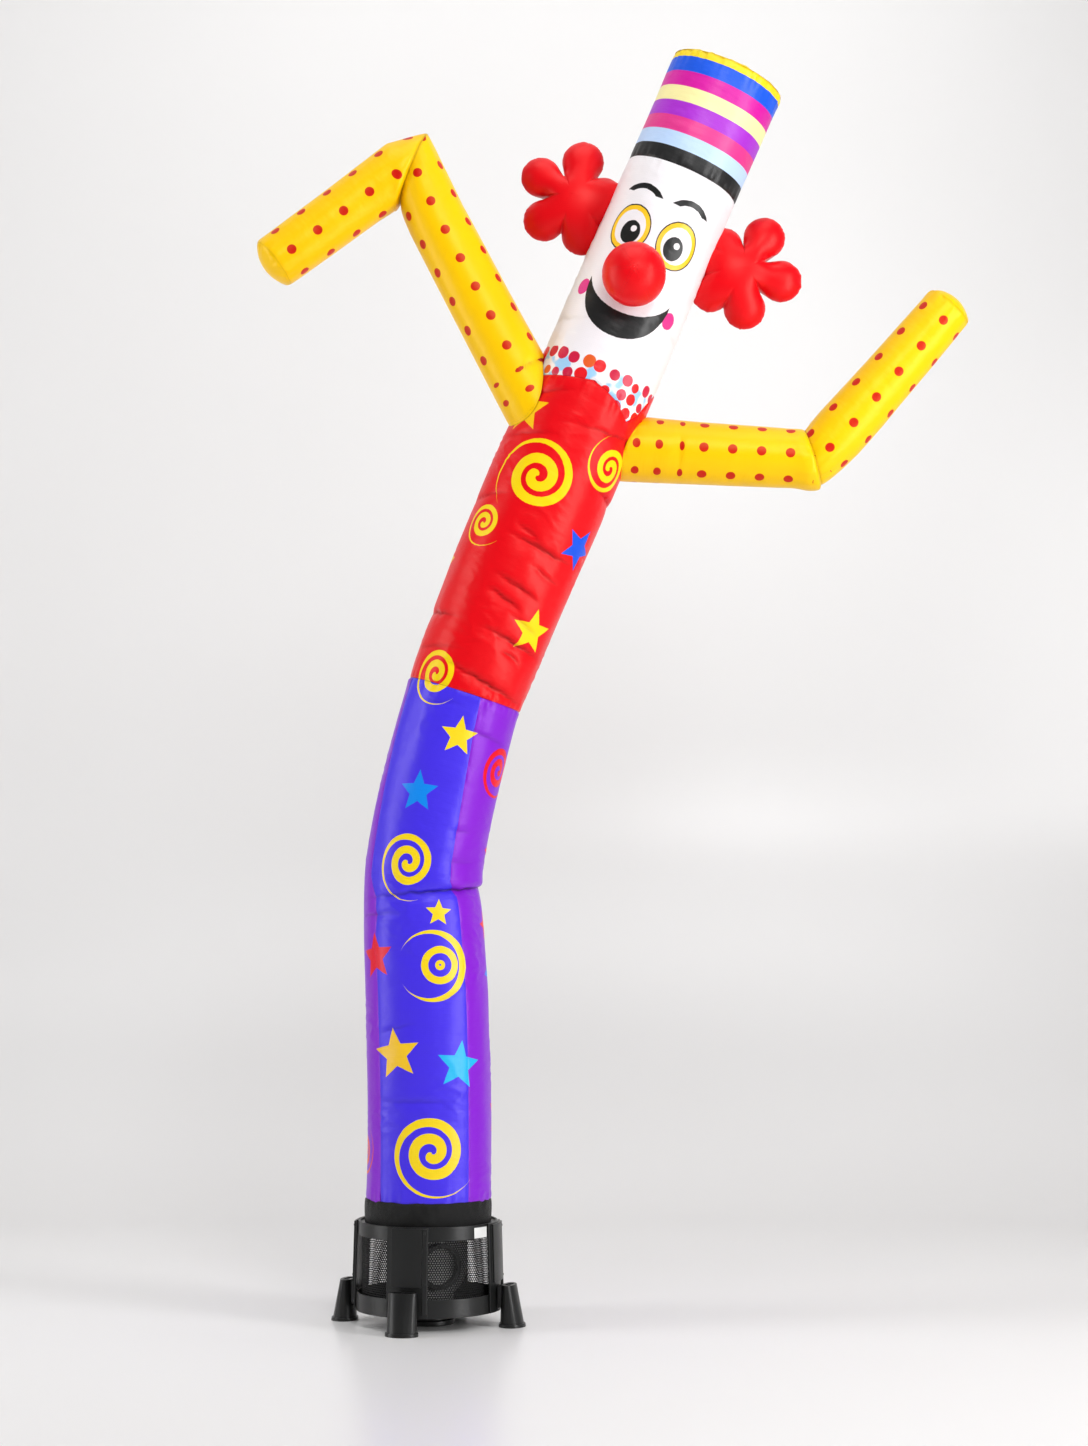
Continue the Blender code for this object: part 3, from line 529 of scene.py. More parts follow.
class Graph:
    """A material's nodes, built with plain calls."""

    def __init__(self, name):
        self.material = bpy.data.materials.new(name)
        self.material.use_nodes = True
        self.tree = self.material.node_tree
        self.shader = self.tree.nodes["Principled BSDF"]

    def node(self, kind, **settings):
        made = self.tree.nodes.new(kind)
        for key, value in settings.items():
            setattr(made, key, value)
        return made

    def put(self, socket, value):
        if isinstance(value, Value):
            self.tree.links.new(value.socket, socket)
        elif isinstance(value, tuple):
            socket.default_value = (*value, 1.0) if len(value) < len(socket.default_value) else value
        else:
            socket.default_value = value

    def math(self, operation, *values, clamp=False):
        made = self.node("ShaderNodeMath", operation=operation, use_clamp=clamp)
        for socket, value in zip(made.inputs, values):
            self.put(socket, value)
        return Value(self, made.outputs[0])

    def length(self, x, y):
        return self.math("SQRT", x * x + y * y)

    def map_at(self, name):
        """The two coordinates of a UV map."""
        uv = self.node("ShaderNodeUVMap", uv_map=name)
        split = self.node("ShaderNodeSeparateXYZ")
        self.tree.links.new(uv.outputs[0], split.inputs[0])
        return Value(self, split.outputs[0]), Value(self, split.outputs[1])

    def place(self):
        """The coordinates of the point itself, in metres."""
        found = self.node("ShaderNodeTexCoord")
        split = self.node("ShaderNodeSeparateXYZ")
        self.tree.links.new(found.outputs["Object"], split.inputs[0])
        return [Value(self, split.outputs[k]) for k in range(3)]

    def vector(self, x, y, z=0.0):
        made = self.node("ShaderNodeCombineXYZ")
        for socket, value in zip(made.inputs, (x, y, z)):
            self.put(socket, value)
        return Value(self, made.outputs[0])

    def noise(self, vector, scale, detail=2.0, roughness=0.5):
        made = self.node("ShaderNodeTexNoise")
        self.put(made.inputs["Vector"], vector)
        self.put(made.inputs["Scale"], scale)
        self.put(made.inputs["Detail"], detail)
        self.put(made.inputs["Roughness"], roughness)
        return Value(self, made.outputs[0])

    def cells(self, vector, scale, randomness):
        """Distance to the nearest cell's middle, the middle's second coordinate, and random values."""
        made = self.node("ShaderNodeTexVoronoi", voronoi_dimensions="2D")
        self.put(made.inputs["Vector"], vector)
        self.put(made.inputs["Scale"], scale)
        self.put(made.inputs["Randomness"], randomness)
        split = self.node("ShaderNodeSeparateColor")
        self.tree.links.new(made.outputs["Color"], split.inputs[0])
        where = self.node("ShaderNodeSeparateXYZ")
        self.tree.links.new(made.outputs["Position"], where.inputs[0])
        randoms = [Value(self, split.outputs[k]) for k in range(3)]
        return Value(self, made.outputs["Distance"]), Value(self, where.outputs[1]), randoms

    def inside(self, distance, edge=0.0007):
        """1 where a signed distance is below zero, 0 above, with a soft edge this wide."""
        return self.math("SUBTRACT", 0.5, distance / edge, clamp=True)

    def mix(self, share, first, second):
        made = self.node("ShaderNodeMix", data_type="RGBA")
        self.put(made.inputs[0], share)
        self.put(made.inputs[6], first)
        self.put(made.inputs[7], second)
        return Value(self, made.outputs[2])

    def shade(self, colour, share, floor):
        """Darkens a colour towards a floor value as share goes from 0 to 1."""
        made = self.node("ShaderNodeMix", data_type="RGBA", blend_type="MULTIPLY")
        self.put(made.inputs[0], share)
        self.put(made.inputs[6], colour)
        self.put(made.inputs[7], (floor, floor, floor))
        return Value(self, made.outputs[2])

    def bump(self, height, distance, strength=1.0, normal=None):
        made = self.node("ShaderNodeBump")
        self.put(made.inputs["Height"], height)
        self.put(made.inputs["Distance"], distance)
        self.put(made.inputs["Strength"], strength)
        if normal:
            self.put(made.inputs["Normal"], normal)
        return Value(self, made.outputs[0])

    def finish(self, colour, roughness, normal=None, **constants):
        self.put(self.shader.inputs["Base Color"], colour)
        self.put(self.shader.inputs["Roughness"], roughness)
        if normal:
            self.put(self.shader.inputs["Normal"], normal)
        for key, value in constants.items():
            self.put(self.shader.inputs[key.replace("_", " ").title().replace("Ior", "IOR")], value)
        return self.material


def print_graph(name):
    """A new material's graph, and the two coordinates of its print."""
    g = Graph(name)
    return g, *g.map_at("print")


# ---- printed motifs: each gives a signed distance in metres, negative inside ----
STAR_INNER = 0.45  # inner corners' radius as a share of the points'
SPIRAL_TURNS, FLARE, TAIL_LONG, BAND_HALF = 2.5, 1.1, 0.74, 0.325  # lengths in turns, width in pitches


def centred(across, up, middle, turn=0.0):
    """Coordinates about a middle, turned by degrees."""
    x, y = across - middle[0], up - middle[1]
    if not turn:
        return x, y
    c, s = math.cos(math.radians(turn)), math.sin(math.radians(turn))
    return x * c + y * s, y * c - x * s


def star(g, across, up, middle, radius, turn):
    x, y = centred(across, up, middle, turn)
    far = g.length(x, y)
    wedge = g.math("PINGPONG", g.math("ARCTAN2", x, y), math.pi / 5)
    tip = Vector((radius, 0))
    inner = STAR_INNER * radius * Vector((math.cos(math.pi / 5), math.sin(math.pi / 5)))
    edge = (inner - tip).normalized()
    normal = Vector((edge.y, -edge.x))
    along = far * g.math("COSINE", wedge) * normal.x + far * g.math("SINE", wedge) * normal.y
    return along - tip.dot(normal)


def spiral(g, across, up, middle, radius, tail_at, hand=1):
    """A band that winds outwards, then flares and thins to a tail, which ends at this angle."""
    x, y = centred(across, up, middle, tail_at - hand * (360 * SPIRAL_TURNS - 180))
    pitch = radius / (SPIRAL_TURNS + FLARE * TAIL_LONG**2)
    even_turns = SPIRAL_TURNS - TAIL_LONG
    far = g.length(x, y) / pitch
    way = (g.math("ARCTAN2", y * hand, x) + math.pi) / (2 * math.pi)
    past = g.math("MAXIMUM", far - even_turns, 0.0)
    root = g.math("SQRT", past * (4 * FLARE) + 1.0)
    winding = g.math("MINIMUM", far, even_turns) + (root - 1.0) / (2 * FLARE) - way
    nearest = g.math("ROUND", winding)
    wound = nearest + way
    start = g.math("MULTIPLY", wound, 4.0, clamp=True)
    tail = g.math("MULTIPLY", SPIRAL_TURNS - wound, 1 / TAIL_LONG, clamp=True)
    open_end = g.math("GREATER_THAN", wound, 0.0) * g.math("LESS_THAN", wound, SPIRAL_TURNS)
    band = g.math("ABSOLUTE", winding - nearest) * root * pitch - start * tail * (pitch * BAND_HALF)
    return band + (1.0 - open_end) * radius


def crescent(g, across, up, middle, radius):
    """A thin moon, thick at the right: inside one disc and outside a smaller one."""
    moon = disc(g, across, up, (middle[0] - radius * 0.20, middle[1]), radius)
    hole = disc(g, across, up, (middle[0] - radius * 0.325, middle[1]), radius * 0.895)
    return g.math("MAXIMUM", moon, -1.0 * hole)


def ring(g, across, up, middle, radius, width):
    x, y = centred(across, up, middle)
    return g.math("ABSOLUTE", g.length(x, y) - radius) - width / 2


def oval(g, across, up, middle, wide, tall, turn=0.0):
    """A rough signed distance, good near the edge of a mild oval."""
    x, y = centred(across, up, middle, turn)
    x, y = x / wide, y / tall
    return (g.length(x, y) - 1.0) * min(wide, tall)


def disc(g, across, up, middle, radius):
    return oval(g, across, up, middle, radius, radius)


# ---- cloth finish ----
RIPSTOP = 0.005  # spacing of the heavier threads
THREAD = 0.0007
STITCH_AT, STITCH_LONG = 0.0050, 0.0042


def nylon(g, colour, across, up, tint=(1.0, 1.0, 1.0), rough=0.31, wrinkled=0.5):
    """Coated ripstop: faint squares, fine weave, small wrinkles, stitching beside the seams, and painted shade
    along the creases.
    """
    to_side, to_end = g.map_at("seams")
    fold = g.map_at("folds")[0]
    spot = g.vector(across, up)
    lines = g.math("MINIMUM", g.math("PINGPONG", across, RIPSTOP / 2), g.math("PINGPONG", up, RIPSTOP / 2))
    ripstop = g.inside(lines - THREAD / 2, THREAD / 2)
    weave = g.math("SINE", across * (2 * math.pi / THREAD)) * g.math("SINE", up * (2 * math.pi / THREAD))
    wrinkle = g.noise(g.vector(across * 0.5, up), 19.0, 3.0, 0.50)
    slow = g.noise(spot, 7.0, 2.0)
    stitch = stitching(g, to_side, up) + stitching(g, to_end, across)
    colour = g.shade(colour, slow * 0.10, 0.60)
    colour = g.shade(colour, ripstop * 0.06, 0.4)
    colour = g.shade(colour, g.inside(to_end - 0.0008, 0.0016) * 0.6, 0.30)
    colour = g.shade(colour, g.inside(to_side - 0.0006, 0.0012) * 0.25, 0.30)
    colour = g.shade(colour, stitch * 0.30, 0.45)
    # Painted shade: the cloth is darkened along the crease lines
    colour = g.shade(colour, fold, 0.30)
    normal = g.bump(wrinkle, 0.0070, wrinkled)
    normal = g.bump(ripstop * 0.35 + weave * 0.05 + stitch * 2.0, 0.00022, 0.6, normal)
    return g.finish(colour, slow * 0.10 + rough, normal, specular_ior_level=0.46, specular_tint=tint)


def stitching(g, to_seam, run):
    """A row of stitches beside a seam."""
    line = g.inside(g.math("ABSOLUTE", to_seam - STITCH_AT) - THREAD / 2, THREAD / 2)
    dash = g.math("GREATER_THAN", g.math("PINGPONG", run, STITCH_LONG), STITCH_LONG * 0.35)
    return line * dash


def print_on(g, colour, marks):
    """Lays coloured marks over a colour, each a signed distance and a colour."""
    for distance, ink in marks:
        colour = g.mix(g.inside(distance), colour, ink)
    return colour


# The body's motifs. Each row: shape, height, angle, radius, turn or tail's angle, colour, and a spiral's hand
# where it winds the other way.
MOTIFS = (
    ("spiral", 2.037, -10.5, 0.118, 234, YELLOW),
    ("spiral", 2.123, 53.5, 0.080, 112, YELLOW, -1),
    ("spiral", 1.900, -44.0, 0.066, 330, YELLOW),
    ("star", 1.930, 57.0, 0.056, -20, HAT_BLUE),
    ("star", 1.712, 44.0, 0.058, 8, YELLOW),
    ("spiral", 1.548, -33.0, 0.080, 326, YELLOW),
    ("star", 2.172, -53.0, 0.064, 10, SLEEVE_YELLOW),
    ("star", 1.800, -92.0, 0.050, -8, GOLD),
    ("star", 1.827, 110.0, 0.050, 20, YELLOW),
    ("spiral", 1.650, 150.0, 0.080, 90, YELLOW),
    ("star", 1.960, -150.0, 0.052, 10, AZURE),
    ("spiral", 2.090, 178.0, 0.100, 330, YELLOW),
    ("star", 1.720, -140.0, 0.046, -6, YELLOW),
    ("star", 1.425, 8.5, 0.050, 4, YELLOW),
    ("star", 1.277, -17.5, 0.052, 8, AZURE),
    ("spiral", 1.372, 67.0, 0.086, 20, RED),
    ("spiral", 1.112, -14.0, 0.092, 290, YELLOW),
    ("star", 0.993, 18.0, 0.034, -6, YELLOW),
    ("rings", 0.867, 16.0, 0.0860, 0, YELLOW),
    ("star", 0.896, -50.5, 0.058, 4, RED),
    ("star", 0.658, -29.0, 0.064, 8, GOLD),
    ("star", 0.629, 32.0, 0.060, -8, CYAN),
    ("spiral", 0.424, 5.0, 0.120, 326, YELLOW),
    ("spiral", 0.414, -84.0, 0.070, 60, ORANGE),
    ("star", 1.170, 96.0, 0.046, 15, RED),
    ("star", 1.080, 112.0, 0.040, 4, AZURE),
    ("star", 0.955, 88.0, 0.040, 12, RED),
    ("star", 0.840, 92.0, 0.044, 25, AZURE),
    ("star", 0.503, 102.0, 0.058, -10, RED),
    ("spiral", 0.680, 118.0, 0.066, 200, YELLOW),
    ("spiral", 1.330, 176.0, 0.084, 80, YELLOW),
    ("star", 1.130, 200.0, 0.052, 8, AZURE),
    ("star", 0.980, 163.0, 0.046, -12, YELLOW),
    ("rings", 0.760, 196.0, 0.0800, 0, YELLOW),
    ("star", 0.600, 166.0, 0.058, 14, CYAN),
    ("spiral", 0.430, 190.0, 0.104, 130, YELLOW),
    ("star", 1.400, -98.0, 0.050, 4, AZURE),
    ("spiral", 1.150, -104.0, 0.076, 250, YELLOW),
    ("star", 0.700, -108.0, 0.054, -16, GOLD),
)


def motif_marks(g, across, up, low, high, middle_angle=0.0, half_angle=180.0):
    """The marks of the motifs that reach into a stretch of the body, given by its heights and angles."""
    marks = []
    for shape, height, angle, radius, turn, ink, *hand in MOTIFS:
        reach = math.degrees(radius / NOMINAL_RADIUS)
        off = turned(angle, middle_angle)
        if not low - radius < height < high + radius or abs(off) > half_angle + reach:
            continue
        middle = print_place(height, middle_angle + off)
        if shape == "star":
            marks.append((star(g, across, up, middle, radius, turn), ink))
        elif shape == "spiral":
            marks.append((spiral(g, across, up, middle, radius, turn, *hand), ink))
        else:
            marks += [
                (disc(g, across, up, middle, radius * 0.14), ink),
                (disc(g, across, up, middle, radius * 0.030), BLUE),
                (ring(g, across, up, middle, radius * 0.43, radius * 0.20), ink),
                (crescent(g, across, up, middle, radius), ink),
            ]
    return marks


def printed_cloth(name, ground, tint, *span):
    g, across, up = print_graph(name)
    colour = print_on(g, ground, motif_marks(g, across, up, *span))
    return nylon(g, colour, across, up, tint)


def plain_cloth(name, colour, tint, wrinkled=0.5):
    g, across, up = print_graph(name)
    return nylon(g, colour, across, up, tint, wrinkled=wrinkled)


SLEEVE_DOT = 0.0118


def sleeve_cloth(name, columns, upper, forearm):
    """Yellow with a grid of red dots. The spacing and start of the columns, and of each arm's rows."""
    g, across, up = print_graph(name)
    past_elbow = g.math("GREATER_THAN", up, 0.0)
    column = across - columns[1] + past_elbow * (columns[1] - columns[2])
    pitch = upper[0] + past_elbow * (forearm[0] - upper[0])
    start = upper[1] + past_elbow * (forearm[1] - upper[1])
    x = g.math("PINGPONG", column, columns[0] / 2)
    y = g.math("PINGPONG", up - start, pitch / 2)
    colour = print_on(g, SLEEVE_YELLOW, [(g.length(x, y) - SLEEVE_DOT, DOT_RED)])
    return nylon(g, colour, across, up, YELLOW_GLOSS)


STRIPES = (INK, PALE_BLUE, ROSE, VIOLET, CREAM, MAGENTA, HAT_BLUE, YELLOW)
STRIPE_TALL = 0.0385


def striped_cloth(name):
    """Seven equal stripes up the hat, and the rest yellow."""
    g, across, up = print_graph(name)
    foot = length_to(HAT_HEIGHT)
    colour = STRIPES[0]
    for number, ink in enumerate(STRIPES[1:], 1):
        edge = foot + STRIPE_TALL * number
        colour = g.mix(g.inside(edge - up), colour, ink)
    return nylon(g, colour, across, up, rough=0.37)


COLLAR_TALL, COLLAR_WAVE = 0.078, 0.010
COLLAR_DOT, COLLAR_CELL = 0.0142, 0.0370


def head_cloth(name):
    """White, with a dotted collar over the neck seam and a plain cheerful face."""
    g, across, up = print_graph(name)
    collar_top = length_to(NECK_LINE[6][1]) + COLLAR_TALL
    collar = up - collar_top + g.noise(g.vector(across, 0.0), 30.0) * COLLAR_WAVE
    patch = g.noise(g.vector(across, up), 26.0, 1.0)
    blue_patch = g.inside(collar + 0.010, 0.012) * g.inside(0.56 - patch, 0.06)
    colour = g.mix(blue_patch * 0.85, WHITE, SKY)
    distance, middle_up, random = g.cells(g.vector(across, up), 1 / COLLAR_CELL, 0.40)
    dots = distance * COLLAR_CELL - COLLAR_DOT * (0.78 + 0.40 * random[1])
    ink = g.mix(g.math("GREATER_THAN", random[0], 0.62), CRIMSON, DOT_ORANGE)
    ink = g.mix(g.math("LESS_THAN", random[0], 0.30), ink, RED)
    in_collar = g.math("LESS_THAN", middle_up, collar_top - COLLAR_DOT)
    colour = g.mix(g.inside(dots) * in_collar, colour, ink)
    colour = print_on(g, colour, face_marks(g, across, up))
    return nylon(g, colour, across, up, rough=0.30)


# The face: middles as metres across and up from the nose, then half sizes.
EYE_ASIDE, EYE_UP, EYE_WIDE, EYE_TALL = 0.066, 0.118, 0.052, 0.058
EYE_RIM, EYE_LINE = 0.0105, 0.0030
PUPIL_ASIDE, PUPIL_DROP, PUPIL_WIDE, PUPIL_TALL, GLINT = 0.006, 0.010, 0.026, 0.030, 0.0082
BROW_UP, BROW_RADIUS, BROW_THICK, BROW_RISE, BROW_CUT = 0.198, 0.062, 0.0145, 0.030, 0.012
SMILE_UP, SMILE_RADIUS, SMILE_SHIFT, SMILE_BROAD = -0.030, 0.118, 0.062, 1.12
CHEEK_ASIDE, CHEEK_UP, CHEEK_RADIUS = 0.132, -0.052, 0.021


def face_marks(g, across, up):
    """The marks of a plain face: ringed eyes, brows, cheeks and a smile."""
    across_nose, up_nose = print_place(NOSE_HEIGHT, NOSE_ANGLE)
    x, y = across - across_nose, up - up_nose
    marks = []
    for side in (-1, 1):
        eye = (side * EYE_ASIDE, EYE_UP)
        pupil = eye[0] - side * PUPIL_ASIDE
        rim = oval(g, x, y, eye, EYE_WIDE, EYE_TALL)
        brow = ring(g, x, y, (side * EYE_ASIDE, BROW_UP - BROW_RADIUS + BROW_RISE), BROW_RADIUS, BROW_THICK)
        marks += [
            (rim - EYE_LINE, INK),
            (rim, GOLD),
            (rim + EYE_RIM, WHITE),
            (oval(g, x, y, (pupil, EYE_UP - PUPIL_DROP), PUPIL_WIDE, PUPIL_TALL), INK),
            (disc(g, x, y, (pupil + 0.006, EYE_UP), GLINT), WHITE),
            (g.math("MAXIMUM", brow, (BROW_UP + BROW_CUT) - y), INK),
            (disc(g, x, y, (side * CHEEK_ASIDE, CHEEK_UP), CHEEK_RADIUS), ROSE),
        ]
    low = disc(g, x, y, (0.0, SMILE_UP), SMILE_RADIUS)
    high = oval(g, x, y, (0.0, SMILE_UP + SMILE_SHIFT), SMILE_RADIUS * SMILE_BROAD, SMILE_RADIUS)
    return marks + [(g.math("MAXIMUM", low, -1.0 * high), INK)]


# ---- cloth pieces ----
FOOT_TUCK = 0.006  # the panels reach this far below the foot's ring
PANEL_TURN, PANEL_HALF = 15.0, 62.0  # how far a panel's middle is turned, and half the angle it can cover
PANEL_RADIUS = 0.147  # the leg's mean
PANEL_KINDS = ((BLUE, BLUE_GLOSS, "blue_cloth"), (PURPLE, PURPLE_GLOSS, "purple_cloth"))


def metres(angle):
    return math.radians(abs(angle)) * NOMINAL_RADIUS


def trousers():
    """Four panels. A panel's columns run from seam to seam, and its rows from the foot to the belt."""
    low, high, step = KNEE_ROWS
    rows = sorted(even(FOOT_HEIGHT - FOOT_TUCK, BELT_HEIGHT) + even(low, high, step, edges=False))
    wide = math.radians(QUARTER_TURN) * NOMINAL_RADIUS
    columns = [c / wide for c in even(0.0, wide)]
    for number, name in enumerate(PANEL_NAMES):

        def place(share, height, number=number):
            first = straight_row(PANEL_SEAM, height) + QUARTER_TURN * (number - 1)
            angle = first + QUARTER_TURN * share
            to_side = metres(QUARTER_TURN * min(share, 1 - share))
            to_end = min(BELT_HEIGHT - height, abs(height - CUFF_HIGH) + 0.003)
            point = on_body(height, angle, to_side, to_end)
            return point, print_place(height, angle), (to_side, to_end), creases(height, angle)[1]

        ground, tint, slot = PANEL_KINDS[number % 2]
        facing = QUARTER_TURN * number - PANEL_TURN
        material = printed_cloth(name + "_cloth", ground, tint, FOOT_HEIGHT, BELT_HEIGHT, facing, PANEL_HALF)
        piece = cloth_piece(name + "_cloth", material, slot, name, columns, rows, place, closed=False)
        flat = (math.radians(QUARTER_TURN) * PANEL_RADIUS, length_to(BELT_HEIGHT))


def around_body():
    """Degrees from the front, from the back seam all the way round."""
    return around(round(2 * math.pi * NOMINAL_RADIUS / FINE), -180)


def tube(name, low, high, material, slot, node):
    """A tube of the body between two seam lines, each a height for an angle."""
    middle_low, middle_high = low(0), high(0)
    rows = [(h - middle_low) / (middle_high - middle_low) for h in even(middle_low, middle_high)]

    def place(angle, share):
        foot, top = low(angle), high(angle)
        height = foot + (top - foot) * share
        to_end = min(height - foot, top - height)
        point = on_body(height, angle, 1.0, to_end)
        return point, print_place(height, angle), (1.0, to_end), creases(height, angle)[1]

    piece = cloth_piece(name, material, slot, node, around_body(), rows, place)
    length = length_to(round(middle_high, 3)) - length_to(round(middle_low, 3))
    radius = ring_at(round((middle_low + middle_high) / 2, 5))[3]
    2 * math.pi * radius


def neck(angle):
    return straight_row(NECK_LINE, angle)


def body_tubes():
    def level(height):
        return lambda angle: height

    belt, hat, crown = level(BELT_HEIGHT), level(HAT_HEIGHT), level(CROWN_HEIGHT)
    shirt_print = printed_cloth("shirt_cloth", RED, RED_GLOSS, BELT_HEIGHT, HAT_HEIGHT)
    tube("shirt_cloth", belt, neck, shirt_print, "red_cloth", "shirt_tube")
    tube("head_cloth", neck, hat, head_cloth("head_cloth"), "white_cloth", "head_tube")
    tube("hat_cloth", hat, crown, striped_cloth("hat_cloth"), "striped_cloth", "hat_tube")


DOME_AROUND, DOME_STEPS, DOME_TIP = 96, 22, 0.01
DOME_CALM, DOME_BLEND = 0.35, 0.5  # a dome puckers from here, and over this grows to full: shares of its radius


def dome(name, middle, along, radius, rise, material, slot, node, rests_on):
    """An end disc blown out to a low dome, puckered round its seam."""
    ball = (radius**2 + rise**2) / (2 * rise)
    widest = math.asin(radius / ball)
    turn = along.to_track_quat("Z", "Y")
    rows = [1 - k / DOME_STEPS for k in range(DOME_STEPS)] + [DOME_TIP]

    def place(angle, share):
        lean = widest * share
        at = math.radians(angle)
        to_end = radius * (1 - share)
        lift = seam_pull(to_end, at * radius) * smooth_step((share - DOME_CALM) / DOME_BLEND)
        far = (ball + lift) * math.sin(lean)
        up = rise - ball * (1 - math.cos(lean)) + lift * math.cos(lean)
        flat = Vector((far * math.cos(at), far * math.sin(at)))
        return middle + turn @ Vector((*flat, up)), tuple(flat), (1.0, to_end)

    piece = cloth_piece(name, material, slot, node, around(DOME_AROUND), rows, place)
    2 * radius
    2 * radius
    math.pi * radius**2
    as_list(rests_on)


# ---- sleeves ----
def sleeve_rings(table):
    """Each row as middle, broad and deep vectors, with the deep one square to the sleeve."""
    rings = []
    for number, (x, y, z, turn, radius, depth) in enumerate(table):
        low, high = table[max(0, number - 1)], table[min(len(table) - 1, number + 1)]
        along = (Vector(high[:3]) - Vector(low[:3])).normalized()
        across = Vector((math.cos(math.radians(turn)), 0, math.sin(math.radians(turn))))
        square = along - across * along.dot(across)
        deep = square.normalized().cross(across)
        if deep.y < 0:
            deep = -deep
        rings.append((Vector((x, y, z)), across * radius, deep * depth))
    return rings


def ring_point(one, angle):
    middle, broad, deep = one
    return middle + broad * math.cos(angle) + deep * math.sin(angle)


def shoulder_point(rings, angle):
    """Where the sleeve's cloth at this angle meets the body: the line from the elbow, carried on."""
    outer = ring_point(rings[0], angle)
    step = (outer - ring_point(rings[1], angle)).normalized()
    low, high = -0.10, 0.30
    for _ in range(30):
        half = (low + high) / 2
        if outside_body(outer + step * half) > -ROOT_SUNK:
            low = half
        else:
            high = half
    return outer + step * low


# ELBOW_SHADE is how much painted shade the elbow's fold line gets
ELBOW_CREASE, ELBOW_LAP, ELBOW_SPREAD, ELBOW_SHADE = 0.014, 0.0035, 0.020, 0.55
ELBOW_BULGE, BULGE_AT, BULGE_SHARP = 0.005, 0.026, 1.5
CREASE_OUTER, BULGE_OUTER = 0.25, 0.3  # what is left of both on the elbow's outer side
ELBOW_ROWS = (0.001, 0.002, 0.0035, 0.006)  # closer rows beside the elbow's fold
ROOT_SPREAD = 0.012  # how slowly the cloth turns in to the crease at the root
SLEEVE_SWELL, SLEEVE_WIDE, SLEEVE_TALL = 0.0018, 1.1, 0.20
RUCK, RUCK_REACH, RUCK_TALL = 0.003, 0.05, 0.06  # small folds beside the elbow

# The crease at each sleeve's root: where it is along the arm from the elbow, angle, reach, depth and painted
# shade.
LEFT_ROOT_CREASE = (-0.585, -50, 62, 0.0100, 0.50)
RIGHT_ROOT_CREASE = (-0.334, -100, 60, 0.0030, 0.00)
# The dots of each sleeve: the columns' spacing, and their start on the upper arm and on the forearm; then
# the rows' spacing and start on the upper arm, and the same on the forearm.
LEFT_GRID = ((0.0755, 0.003, -0.013), (0.080, -0.0296), (0.080, 0.054))
RIGHT_GRID = ((0.0700, 0.0040, -0.012), (0.0709, -0.0615), (0.0845, 0.0380))

# Where the sleeves' print lies along the upper arm, measured from the elbow: the cloth is gathered near the
# shoulder, and most of all in the crease there. Each row: where it is, and where that is on the flat print.
LEFT_GATHER = (
    (-0.800, -0.840),
    (-0.650, -0.690),
    (-0.592, -0.605),
    (-0.578, -0.575),
    (-0.517, -0.510),
    (-0.400, -0.400),
    (1.000, 1.000),
)
RIGHT_GATHER = (
    (-0.600, -0.660),
    (-0.440, -0.489),
    (-0.386, -0.418),
    (-0.337, -0.360),
    (-0.321, -0.332),
    (-0.288, -0.288),
    (1.000, 1.000),
)


